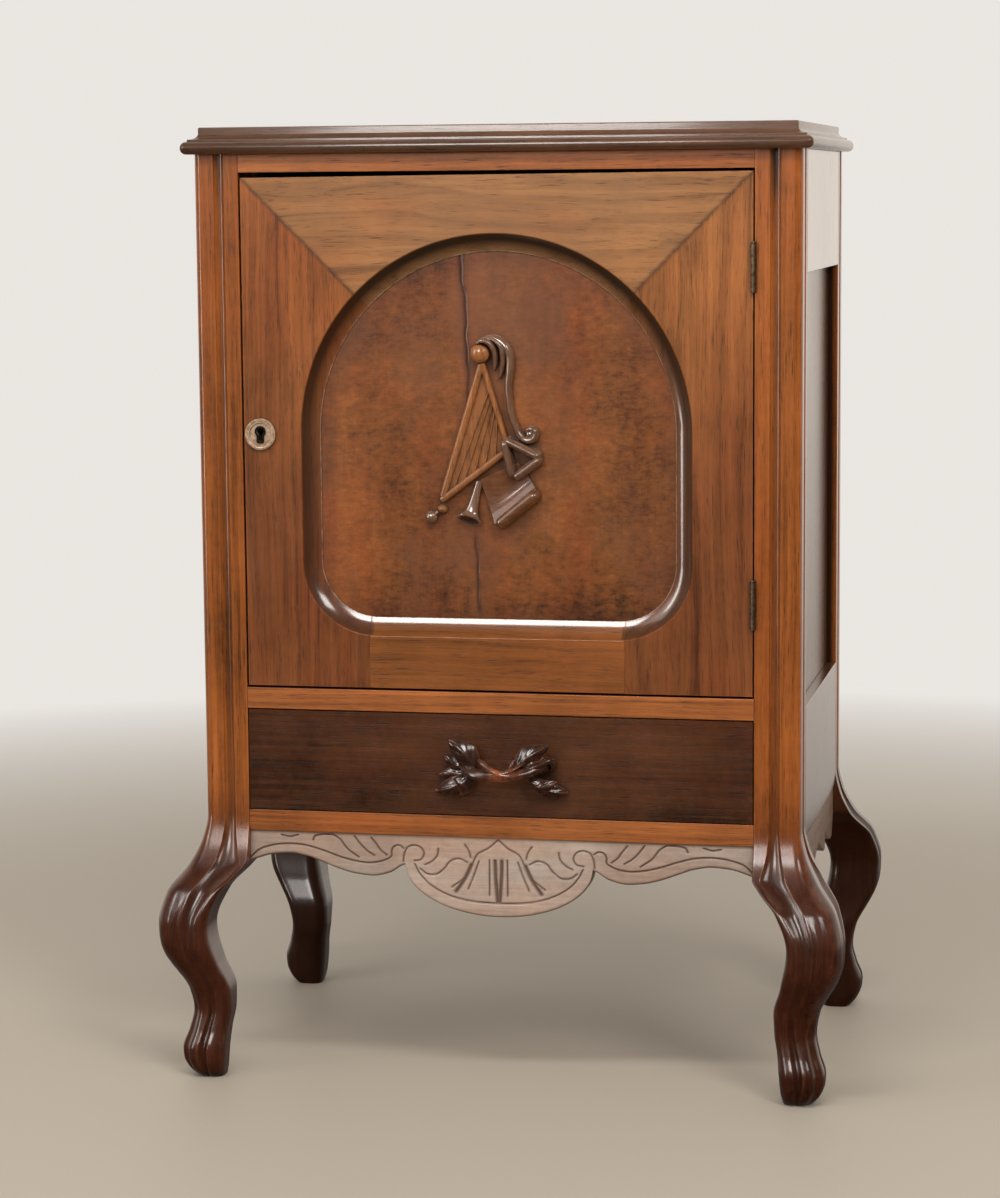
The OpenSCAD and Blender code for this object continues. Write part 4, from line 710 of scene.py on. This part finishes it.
# A board with a shaped lower edge: its front is a grid pressed in by a depth at each point, its back is flat
def shapedBoard(x, low, top, face, thick, depth, rows, edgeRound=3.6):
    t = np.linspace(0, 1, rows)[:, None]
    gx = x[None] + 0 * t
    gz = low[None] + (top - low[None]) * t
    pressed = depth(gx, gz)
    rim = np.clip((gz - low[None]) / edgeRound, 0, 1)
    lift = edgeRound * (1 - np.sqrt(1 - (1 - rim) ** 2))
    front = np.stack([gx, face + pressed + lift, gz], -1)
    back = np.stack([gx[[-1, 0]], np.full((2, len(x)), face + thick), gz[[-1, 0]]], -1)
    points = np.concatenate([front, back])
    count, cols = rows + 2, len(x)
    faces = gridFaces(count, cols)
    lastRow = (count - 1) * cols
    faces += [[lastRow + i, lastRow + i + 1, i + 1, i] for i in range(cols - 1)]
    faces += [[r * cols for r in range(count)], [r * cols + cols - 1 for r in range(count)][::-1]]
    return (points.reshape(-1, 3), faces), pressed


def apronCuts(x, z):
    cut = np.zeros(x.shape)
    for kind in ("line", "gouge"):
        for points in apron[kind + "s"]:
            reach = distanceTo(np.abs(x), z, points)
            cut = np.maximum(cut, apron[kind + "Depth"] * bell(reach, 0, apron[kind + "Width"]))
    return cut


half = [np.linspace(0, apron["lobeHalf"] - 0.1, 116), np.linspace(apron["lobeHalf"] + 0.4, postX, 180)]
half = np.concatenate(half)
apronX = np.concatenate([-half[:0:-1], half])
ax = np.abs(apronX)
lobe = apron["lobeTop"] - apron["lobeDrop"] * np.sqrt(np.clip(1 - (ax / apron["lobeHalf"]) ** 2, 0, 1))
apronLow = np.where(ax <= apron["lobeHalf"], lobe, throughStations(ax, apron["wing"]))
shape, cuts = shapedBoard(apronX, apronLow, apron["top"], apron["face"], apron["thick"], apronCuts,
                          apron["rows"])
tall = apron["top"] - apronLow[None]
up = np.linspace(0, 1, apron["rows"])[:, None] * tall
# Painted shade darkens the lower edge's rounding and a strip under the top; the cuts and the ends are darker
# too
rim = 0.75 * smoothStep(2.6, 0.4, up) + 0.45 * smoothStep(3.0, 0.6, tall - up)
dull = 0.30 * smoothStep(70, 110, ax)[None]
boardDarkening = np.clip(np.maximum(cuts / apron["lineDepth"], rim) + dull, 0, 1) * 0.95
boardDarkening = np.concatenate([boardDarkening, np.zeros((2, len(apronX)))])
makePiece("front_apron_carved", shape, "carcase", "apronWalnutWithSheen", "apron_walnut", ["front_apron"],
          grime=boardDarkening, sharp=55)
print("apron carved")

# Door panel with its old split

arch = {"z": 583.5, "r": 158, "low": 420.5}  # centre and radius of the arch, foot of the opening
panel = {
    "rows": 240, "splitWidth": 1.3, "splitDepth": 0.7,
    "split": [(356, -15), (420, -16), (470, -18.3), (500, -19.3), (530, -20), (560, -22), (600, -24.2),
              (650, -25.3), (697, -27.1), (731, -30), (760, -31)],  # height, place across
}
panelLow, panelHigh = cornersOf("door_panel")
panelX = [np.linspace(panelLow[0], -37, 55), np.linspace(-36, -11, 64), np.linspace(-10, panelHigh[0], 70)]
panelX = np.concatenate(panelX)


# The split opens again for a short way above the foot of the opening
def lowSplit(z):
    return smoothStep(500, 485, z) * smoothStep(423, 430, z)


# The split is a line that wanders with height: depth is a bell of the distance across it
def panelCuts(x, z):
    line = throughStations(z, panel["split"]) + 0.8 * np.sin(z / 9) + 0.5 * np.sin(z / 3.7)
    openness = 0.12 + 0.88 * smoothStep(570, 680, z) + 0.70 * lowSplit(z)
    return panel["splitDepth"] * np.clip(openness, 0, 1) * bell(x, line, panel["splitWidth"])


shape, cuts = shapedBoard(panelX, np.full(len(panelX), panelLow[2]), panelHigh[2], panelFace,
                          panelHigh[1] - panelFace, panelCuts, panel["rows"], 0.3)
gz = np.linspace(panelLow[2], panelHigh[2], panel["rows"])[:, None]
line = throughStations(gz, panel["split"])
reach = np.where(gz > arch["z"], np.hypot(panelX[None], gz - arch["z"]), np.abs(panelX[None]) + 0 * gz)
reach = np.maximum(reach, arch["low"] + arch["r"] - gz)
# Darker within 22 mm of the opening's rim and along the split, most above 575 mm and at the split's low
# opening
nearCove = 0.38 * smoothStep(arch["r"] - 22, arch["r"], reach)
splitDark = 0.62 * bell(panelX[None], line - 0.8, 3.4) * smoothStep(575, 640, gz)
splitDark = splitDark + 0.16 * bell(panelX[None], line, 3.2) + 0.40 * bell(panelX[None], line, 2.2) * lowSplit(gz)
boardDarkening = np.concatenate([np.clip(cuts * 0.9 + splitDark + nearCove, 0, 1), np.zeros((2, len(panelX)))])
makePiece("door_panel_split", shape, "door", "panelWalnut", "panel_burr", ["door_panel"],
          grime=boardDarkening, sharp=55)
print("panel made")

# Carved trophy

trophy = {
    "x": -10.0, "z": cornersOf("carved_trophy")[0][2] - 0.5, "sink": 0.6,
    "harp": np.array([(-1.5, 144), (-38, 25), (22, 70)]),  # corners at the top, left and right
    "triangle": [(17.4, 78.4), (51.0, 62.4), (25.6, 43.6)],
    "neck": [(-4, 163.6), (3, 166.2), (11, 165.2), (18.6, 160), (23.0, 151), (23.2, 139), (21.6, 126),
             (22.2, 113), (24.4, 100), (27.6, 90), (31.6, 82), (38, 77.4), (44.5, 79.4), (45.6, 84.6),
             (41, 87.6), (37.4, 85)],
    "ribbons": [[(-7.5, 160), (-1, 164), (5.5, 162), (9.6, 155), (10.4, 146.5), (8.6, 137.5)],
                [(2, 166), (10, 164.4), (15.6, 159), (17.2, 151), (16.4, 141), (13.4, 130.5)]],
}


# Places on the door panel, across, up and out, as points of the frame
def onPanel(across, up, out):
    return np.stack([trophy["x"] + across, panelFace - out, trophy["z"] + up], -1)


# Values set at even steps along a path, read at other places between its ends at 0 and 1
def evenly(s, values):
    values = np.atleast_1d(values)
    return np.interp(s, np.linspace(0, 1, len(values)), values)


# A carved bar along a path on the panel: across it the section is a cosine, and outwards a power of the sine,
# scaled by the bar's width and height; round ends narrow as quarter circles
def carvedBar(points, width, height, count=40, power=0.6, roundEnds=True):
    path = smoothPath(points, count) if len(points) > 2 else np.linspace(points[0], points[1], count)
    ahead = unit(np.gradient(path, axis=0))
    s = np.linspace(0, 1, count)
    w, h = evenly(s, width), evenly(s, height)
    near = w / 2 / np.linalg.norm(np.diff(path, axis=0), axis=1).sum()
    taper = np.ones(count)
    for toEnd in (s, 1 - s) if roundEnds else ():
        taper *= np.sqrt(np.clip(1 - np.clip(1 - toEnd / near, 0, 1) ** 2, 0.004, 1))
    a = np.linspace(0, math.pi, 15)
    across = np.cos(a)[None] * (w * taper / 2)[:, None]
    out = np.sin(a)[None] ** power * (h * (0.25 + 0.75 * taper))[:, None]
    base = np.full((count, 1), -trophy["sink"])
    across = np.concatenate([across, across[:, -1:], across[:, :1]], 1)
    out = np.concatenate([out, base, base], 1)
    side = np.stack([-ahead[:, 1], ahead[:, 0]], 1)
    flat = path[:, None] + side[:, None] * across[..., None]
    return skin(onPanel(flat[..., 0], flat[..., 1], out))


# A flattened ball resting on the panel, as circles of latitude from front to back
def boss(centre, radius, height, turns=0, flute=0.0):
    lat = np.linspace(0.02, math.pi - 0.02, 24)[:, None]
    lon = np.linspace(0, 2 * math.pi, 36, endpoint=False)[None]
    r = radius * np.sin(lat) * (1 + flute * np.cos(turns * lon))
    out = height / 2 * (1 + np.cos(lat)) + 0 * lon
    return skin(onPanel(centre[0] + r * np.cos(lon), centre[1] + r * np.sin(lon), out - 0.4))


def makeCarving(name, parts, material, **more):
    makePiece(name, joined(parts), "door", material, "carved_walnut", **more)


harpTop, harpLeft, harpRight = trophy["harp"]
harpParts = [carvedBar([harpTop + [0.5, 2], harpLeft], 6.8, 7.8, power=0.35),
             carvedBar([harpLeft - [2, 1.5], harpRight], 6.2, 7.6, power=0.35),
             carvedBar([harpRight + [0, -2], harpTop + [-0.5, 2]], 5.2, 7.4, power=0.35)]
for i in range(1, 6):
    foot = harpLeft + (harpRight - harpLeft) * 0.16 * i
    head = harpTop + (harpRight - harpTop) * (0.22 + 0.07 * i)
    harpParts.append(carvedBar([foot, head], 2.3, 6.0, 24, 0.9, False))
ground = np.array([trophy["harp"]] * 2)  # a flat slab between the bars
harpParts.append(skin(onPanel(ground[..., 0], ground[..., 1], np.array([[-trophy["sink"]] * 3, [4.0] * 3]))))
harpParts.append(carvedBar([[-37.5, 20.5], [-39, 13]], 9.5, 7.6, 24, 0.5))
makeCarving("trophy_harp", harpParts, "harpWalnut", instead=["carved_trophy"])
knobParts = [boss((-48.2, 9.5), 5.3, 8.0, 12, 0.07), carvedBar([[-41, 15], [-46, 11]], 4.0, 5.0, 16)]
makeCarving("trophy_knob", knobParts, "carvedWalnut")

neckWidths = [3.0, 6.2, 7.6, 7.6, 6.8, 6.4, 6.2, 6.2, 6.6, 6.4, 4.6]
neckParts = [carvedBar(trophy["neck"], neckWidths, [6, 9.0, 8.6, 7.6, 7.8, 9.0], 150, 0.5),
             carvedBar(trophy["ribbons"][0], [3.6, 5.6, 6.0, 5.0, 2.6], [9.0, 12.6, 11.0, 7.4, 3.6], 44),
             carvedBar(trophy["ribbons"][1], [3.4, 5.2, 5.8, 5.2, 2.6], [7.5, 10.4, 9.6, 6.4, 3.2], 44),
             boss((40.8, 82.6), 4.6, 7.4)]
makeCarving("trophy_head", [boss((-3.0, 153.0), 8.6, 12.0)], "harpWalnut")
makeCarving("trophy_scroll_neck", neckParts, "carvedWalnut")

a, b, c = trophy["triangle"]
triangleParts = [carvedBar(ends, 9.2, 11.6, 30, 0.75) for ends in ((a, b), (b, c), (c, a))]
makeCarving("trophy_triangle", triangleParts, "carvedWalnut")

# The horn is turned: circles along its axis, flattened against the panel, with a hollow mouth
horn = {
    "mouth": (-14.2, 6.4), "turn": 15, "lean": 0.42, "flat": 0.46, "lift": 4.6, "droop": 0.03,
    "stations": [(5.0, 1.0), (4.0, 4.6), (2.2, 8.4), (0, 9.8), (0.3, 11.2), (1.3, 11.2), (3.2, 9.4),
                 (6.0, 7.0), (10, 5.2), (16, 4.1), (24, 3.4), (36, 2.8)],  # along the horn, radius
}
hornS, hornR = np.array(horn["stations"]).T[..., None]
lon = np.linspace(0, 2 * math.pi, 40, endpoint=False)[None]
across, aslant = math.cos(math.radians(horn["turn"])), math.sin(math.radians(horn["turn"]))
side = hornR * np.cos(lon)
out = hornR * horn["flat"] * np.sin(lon) + horn["lift"] - horn["droop"] * hornS
along = hornS + horn["lean"] * hornR * np.sin(lon) * smoothStep(9, 0, hornS)
hornX = horn["mouth"][0] + aslant * along + across * side
hornZ = horn["mouth"][1] + across * along - aslant * side
# painted shade inside the horn's mouth
hornMouthShade = np.concatenate([np.ones((3, 40)), np.zeros((len(hornS) - 3, 40))])
makeCarving("trophy_horn", [skin(onPanel(hornX, hornZ, out))], "carvedWalnut", grime=hornMouthShade)

# The sheet is a thin slab that rolls up at its lower edge
sheet = {
    "edges": [[(-4, 42.5), (30, 58)], [(9.5, 4.5), (46.5, 34)]],  # ends of the upper and of the lower edge
    "roll": [(10.5, 1.8), (48.5, 32.6)],
}
s, t = np.meshgrid(np.linspace(0, 1, 26), np.linspace(0, 1, 20), indexing="ij")
highEdge, lowEdge = [a + (b - a) * t[..., None] for a, b in np.array(sheet["edges"])]
flat = highEdge + (lowEdge - highEdge) * s[..., None]
out = 4.6 - 1.6 * np.sin(math.pi * s) + 4.6 * s ** 5 + 0.5 * np.sin(3.0 * t + 2.2 * s)
upper, lower = [onPanel(flat[..., 0], flat[..., 1], level) for level in (out, 0 * out - trophy["sink"])]
slab = skin(np.concatenate([upper, lower[:, ::-1]], 1))
makeCarving("trophy_sheet", [slab, carvedBar(sheet["roll"], 11.4, 12.0, power=0.5)], "sheetWalnut")
print("trophy carved")

# Keyhole plate

plateLow, plateHigh = cornersOf("escutcheon")
plate = {"x": (plateLow[0] + plateHigh[0]) / 2, "z": (plateLow[2] + plateHigh[2]) / 2}
rimR = (plateHigh[0] - plateLow[0]) / 2
# how far in from the rim, and how high
rimSteps = [(0.2, 0.1), (0, 1.2), (0.5, 2.5), (1.4, 3.2), (2.3, 3.1), (2.8, 2.5), (3.1, 2.4), (3.5, 2.7),
            (4.1, 2.4), (4.6, 1.5), (4.6, 0.1)]
keyhole = {"r": 5.0, "up": 2.2, "slotHalf": 3.5, "slotFoot": -6.6, "footRound": 1.6}


# A closed section carried round a closed line: rings of points, the last joined to the first
def closedRing(rings):
    rows, cols = rings.shape[:2]
    last = (rows - 1) * cols
    seam = [[last + i, last + (i + 1) % cols, (i + 1) % cols, i] for i in range(cols)]
    return rings.reshape(-1, 3), gridFaces(rows, cols, True) + seam


# The rim is turned: a profile of radius and height carried round the plate's centre
lon = np.linspace(0, 2 * math.pi, 64, endpoint=False)[:, None]
inward, h = np.array(rimSteps).T[:, None]
r = rimR - inward
rings = np.stack([plate["x"] + r * np.cos(lon), frontY - h + 0 * lon, plate["z"] + r * np.sin(lon)], -1)
makePiece("escutcheon_rim", closedRing(rings), "door", "rubbedBrass", "aged_brass")

# Painted shade: a flat black band round a circle above a slot stands for the keyhole's dark opening
bandTop = frontY - plateLow[1] + 0.12
a = np.linspace(math.radians(-48), math.radians(228), 30)
circle = np.stack([keyhole["r"] * np.cos(a), keyhole["up"] + keyhole["r"] * np.sin(a)], 1)
b = np.linspace(math.pi, 2 * math.pi, 12)
foot = np.stack([keyhole["slotHalf"] * np.cos(b), keyhole["slotFoot"] + keyhole["footRound"] * np.sin(b)], 1)
outline = np.concatenate([circle, foot])
ahead = unit(np.roll(outline, -1, 0) - np.roll(outline, 1, 0))
outward = np.stack([ahead[:, 1], -ahead[:, 0]], 1)
section = np.array([(0, bandTop - 0.3), (-0.1, bandTop), (-1.6, bandTop), (-1.9, bandTop - 0.3)])
flat = outline[:, None] + outward[:, None] * section[None, :, :1]
depth = frontY - section[None, :, 1] + 0 * flat[..., 0]
rings = np.stack([plate["x"] + flat[..., 0], depth, plate["z"] + flat[..., 1]], -1)
makePiece("keyhole_shade_band", closedRing(rings), "door", "keyholeShadeBlack", "aged_brass")
print("keyhole plate made")

# Drawer handle

handle = {
    "x": 5.5, "z": cornersOf("lower_rail")[1][2] + 43.4,
    "leaves": [  # base, tip, width, height at base and tip, arch, sideways bend
        ((-21, -1), (-48, 25.5), 21, 12, 12, 5, -4), ((-26, -1), (-51.5, 11), 15, 6, 5, 4, 2),
        ((-25, -3), (-57, -6), 14, 6, 4, 4, 0), ((-24, -5), (-61, -20), 18, 8, 4, 6, 3),
        ((-27, -4), (-36, -25), 19, 9, 6, 7, -3),
        ((12, 0), (43.5, 22.5), 19, 14, 13, 5, 3), ((14, -2), (48, 10), 11, 14, 9, 6, 4),
        ((26, -8), (59.5, -18.5), 15, 8, 4, 6, -3), ((24, -7), (50, -7), 13, 12, 10, 6, -6),
    ],
    "twigs": [  # path, radii, steps along and around, turns of the rope; the first is the bow itself
        ([(-31, -0.5, 0.5), (-30.5, -0.5, 6), (-26, -1.5, 15), (-14, -3, 22), (0, -2.6, 23), (14, -2.0, 22.6),
          (25, 0.5, 17), (33, 3.5, 11), (38, 5, 5), (38.5, 5, 0.5)],
         [7, 6.2, 5.0, 4.4, 4.8, 4.4, 4.6, 5.4, 6.4], 80, 22, 2.0),
        ([(2, -1, 25), (-6, 3.0, 26.5), (-13, 8, 25), (-17, 10.5, 22)], [3.2, 2.6, 2.6, 3.2, 1.8],
         40, 16, 0.5),
        ([(3, -1, 25), (10, 1.5, 25), (18, 6, 20), (24, 10, 14)], [3.0, 2.3, 2.0, 1.6], 40, 16, 0.5),
        ([(10, 2, 22), (12, 7, 23), (14, 11.5, 21)], [2.4, 1.8, 1.0], 24, 14, 0.3),
        ([(26, 2, 16), (36, 6.5, 13), (44, 9.5, 9), (46.5, 4, 7), (43, 0, 6)], [3.4, 3.4, 3.2, 3.0, 1.6],
         50, 18, 0.4),
    ],
    "twist": 0.10,  # how deep the rope's strands show
}


def onDrawer(across, up, out):
    return np.stack([handle["x"] + across, frontY - out, handle["z"] + up], -1)


# A carved leaf: its width is a power of a sine along its length, its face is arched by another sine, and veins
# are waves that run out from the middle rib; its back lies below its face
def carvedLeaf(base, tip, width, out0, out1, arch, bend):
    u = np.linspace(0, 1, 40)[:, None]
    v = np.linspace(-1, 1, 21)[None]
    base, tip = np.array(base, float), np.array(tip, float)
    ahead = unit(tip - base)
    side = np.array([-ahead[1], ahead[0]])
    halfWidth = width / 2 * np.clip(np.sin(math.pi * u ** 0.85), 0.0, 1) ** 0.8
    halfWidth = halfWidth * (1 + 0.03 * np.cos(9 * math.pi * u)) + 0.25
    bow = bend * np.sin(math.pi * u * 0.9)
    across = v * halfWidth + bow
    middle = out0 + (out1 - out0) * u + arch * np.sin(math.pi * np.clip(u * 1.05, 0, 1)) * 0.8
    rib = 0.9 * bell(v, 0, 0.13)
    veins = 0.26 * np.sin(2 * math.pi * (3.2 * u - 1.1 * np.abs(v))) * (1 - bell(v, 0, 0.2)) * (1 - v ** 4)
    face = middle - 0.42 * halfWidth * v ** 2 + (veins + rib) * np.clip(halfWidth / 3, 0, 1)
    back = middle - 0.42 * halfWidth * v ** 2 - 2.2 * (1 - v ** 6) - 0.2
    along = base + ahead * (u * np.linalg.norm(tip - base))
    flat = along[:, None] + side * across[..., None]
    top = onDrawer(flat[..., 0], flat[..., 1], np.maximum(face, 0.6))
    under = onDrawer(flat[:, ::-1, 0], flat[:, ::-1, 1], np.maximum(back[:, ::-1], 0.0))
    # painted shade in the veins' dips and over the leaf's underside
    hollow = np.clip(-veins / 0.26, 0, 1) * 0.6
    edge = bell(np.abs(v), 1, 0.12) + bell(v, 0, 0.10) + 0 * u
    grime = np.concatenate([hollow, np.full(hollow.shape, 0.9)], 1)
    touched = bell(flat[..., :1, 0], 32, 30) * bell(flat[..., :1, 1], -8, 8)  # where fingers take the handle
    wear = np.concatenate([edge, 0 * edge], 1) * (0.10 + 0.6 * touched)
    return skin(np.concatenate([top, under], 1)), grime, wear


# A twig: circles along a path whose radius swells at knots and turns like a loose rope
def twig(points, radii, count, around, turns):
    path = smoothPath(points, count)
    ahead = unit(np.gradient(path, axis=0))
    side = unit(np.cross(ahead, [0, 0, 1.0]))
    over = np.cross(side, ahead)
    s = np.linspace(0, 1, count)
    r = throughStations(s, np.stack([np.linspace(0, 1, len(radii)), radii], 1))[:, None]
    th = np.linspace(0, 2 * math.pi, around, endpoint=False)[None]
    r = r * (1 + handle["twist"] * np.cos(3 * th + turns * 2 * math.pi * s[:, None]))
    rings = side[:, None] * (r * np.cos(th))[..., None] + over[:, None] * (r * np.sin(th))[..., None]
    rings = path[:, None] + rings
    return skin(onDrawer(rings[..., 0], rings[..., 1], rings[..., 2]))


leafShapes = [carvedLeaf(*leaf) for leaf in handle["leaves"]]
leafWear = np.concatenate([np.ravel(w) for _, _, w in leafShapes])
leafShade = np.concatenate([np.ravel(g) for _, g, _ in leafShapes])
shape = joined([leaf for leaf, _, _ in leafShapes])
makePiece("handle_leaves", shape, "drawer", "handleWalnut", "carved_walnut", ["drawer_handle"], leafWear,
          leafShade, 60)
twigShape = joined([twig(*branch) for branch in handle["twigs"]])
x, y, _ = twigShape[0].T
rubbed = bell(x, handle["x"] + 4, 14) * smoothStep(frontY - 17, frontY - 24, y)
makePiece("handle_twig", twigShape, "drawer", "handleWalnut", "carved_walnut", wear=rubbed, sharp=60)
print("handle carved")

# Stage, light and camera

stage = {"floor": (0.50, 0.44, 0.36), "backdrop": (0.82, 0.79, 0.75), "size": 30.0, "fade": (0.75, 2.1)}
bpy.ops.mesh.primitive_plane_add(size=stage["size"], location=(0, 0, 0))
floor = bpy.context.object
floor.name = "studio_floor"
floorPaint = emptyMaterial("palePlainFloor")
tree = floorPaint.node_tree
matt = addNode(tree, "BsdfPrincipled", {"Base Color": rgb(stage["floor"]), "Roughness": 0.6}).outputs[0]
# away from the cabinet the floor fades into the backdrop's own colour, as the camera sees it
far = vectors(tree, "LENGTH", addNode(tree, "TexCoord").outputs["Object"], output="Value")
fade = spread(tree, far, *stage["fade"])
fade = times(tree, fade, fade, addNode(tree, "LightPath").outputs["Is Camera Ray"])
pale = addNode(tree, "Emission", {"Color": rgb(stage["backdrop"]), "Strength": 1.0}).outputs[0]
mixed = addNode(tree, "MixShader", {0: fade, 1: matt, 2: pale}).outputs[0]
addNode(tree, "OutputMaterial", {"Surface": mixed})
floor.data.materials.append(floorPaint)
floor.visible_glossy = False

world = bpy.data.worlds.new("studio")
bpy.context.scene.world = world
world.use_nodes = True
tree = world.node_tree
tree.nodes.clear()
ray = addNode(tree, "LightPath").outputs
direction = addNode(tree, "TexCoord").outputs["Generated"]
_, ahead, upward = addNode(tree, "SeparateXYZ", {0: direction}).outputs
# gloss sees a pale wall behind the cabinet, a dim room before it and a darker floor below
sheen = spread(tree, ahead, -0.15, 0.45, 0.05, 0.96)
sheen = times(tree, sheen, spread(tree, upward, -0.27, -0.05, 0.10, 1.0))
ambient = addNode(tree, "Background", {"Color": (1.0, 0.97, 0.93, 1), "Strength": 0.55}).outputs[0]
wall = addNode(tree, "Background", {"Color": (1.0, 0.91, 0.81, 1), "Strength": sheen}).outputs[0]
shown = addNode(tree, "Background", {"Color": rgb(stage["backdrop"]), "Strength": 1.0}).outputs[0]
mixed = addNode(tree, "MixShader", {0: ray["Is Glossy Ray"], 1: ambient, 2: wall}).outputs[0]
mixed = addNode(tree, "MixShader", {0: ray["Is Camera Ray"], 1: mixed, 2: shown}).outputs[0]
addNode(tree, "OutputWorld", {0: mixed})

lamps = {  # place, size, power in watts
    "overhead": ((0.15, -1.40, 2.35), (1.8, 0.28), 24.0),
    "frontRight": ((2.2, -2.7, 2.6), (1.1, 1.1), 40.0),
    "frontLeft": ((-2.6, -2.4, 2.0), (2.0, 2.0), 22.0),
    # these two are seen by gloss alone and light the mouldings
    "window": ((-0.7, -3.6, 2.0), (1.3, 1.3), 88.0),
    "tallWindow": ((-2.6, -2.1, 1.0), (0.5, 2.0), 30.0),
}
for name, (spot, size, power) in lamps.items():
    lamp = bpy.data.lights.new(name, "AREA")
    lamp.shape = "RECTANGLE"
    lamp.size, lamp.size_y = size
    lamp.energy = power
    lamp.color = (1.0, 0.965, 0.92)
    holder = bpy.data.objects.new(name, lamp)
    holder.location = spot
    holder.visible_camera = False
    holder.visible_diffuse = "indow" not in name
    holder.visible_glossy = name != "overhead"
    aim = Vector((0, 0, 0.45)) - Vector(spot)
    holder.rotation_euler = aim.to_track_quat("-Z", "Y").to_euler()
    bpy.context.scene.collection.objects.link(holder)

camera = {"place": (0.562, -2.8538, 0.7956), "turn": 11.756, "tilt": -7.408, "roll": -0.487, "lens": 94.99}
eye = bpy.data.cameras.new("camera")
eye.sensor_width = 36
eye.lens = camera["lens"]
eyeHolder = bpy.data.objects.new("camera", eye)
eyeHolder.matrix_world = Matrix.Translation(camera["place"])
for angle, axis in ((camera["turn"], "Z"), (90 + camera["tilt"], "X"), (camera["roll"], "Z")):
    eyeHolder.matrix_world = eyeHolder.matrix_world @ Matrix.Rotation(math.radians(angle), 4, axis)
bpy.context.scene.collection.objects.link(eyeHolder)
bpy.context.scene.camera = eyeHolder
bpy.context.scene.view_settings.view_transform = "Standard"

print("scene ready")
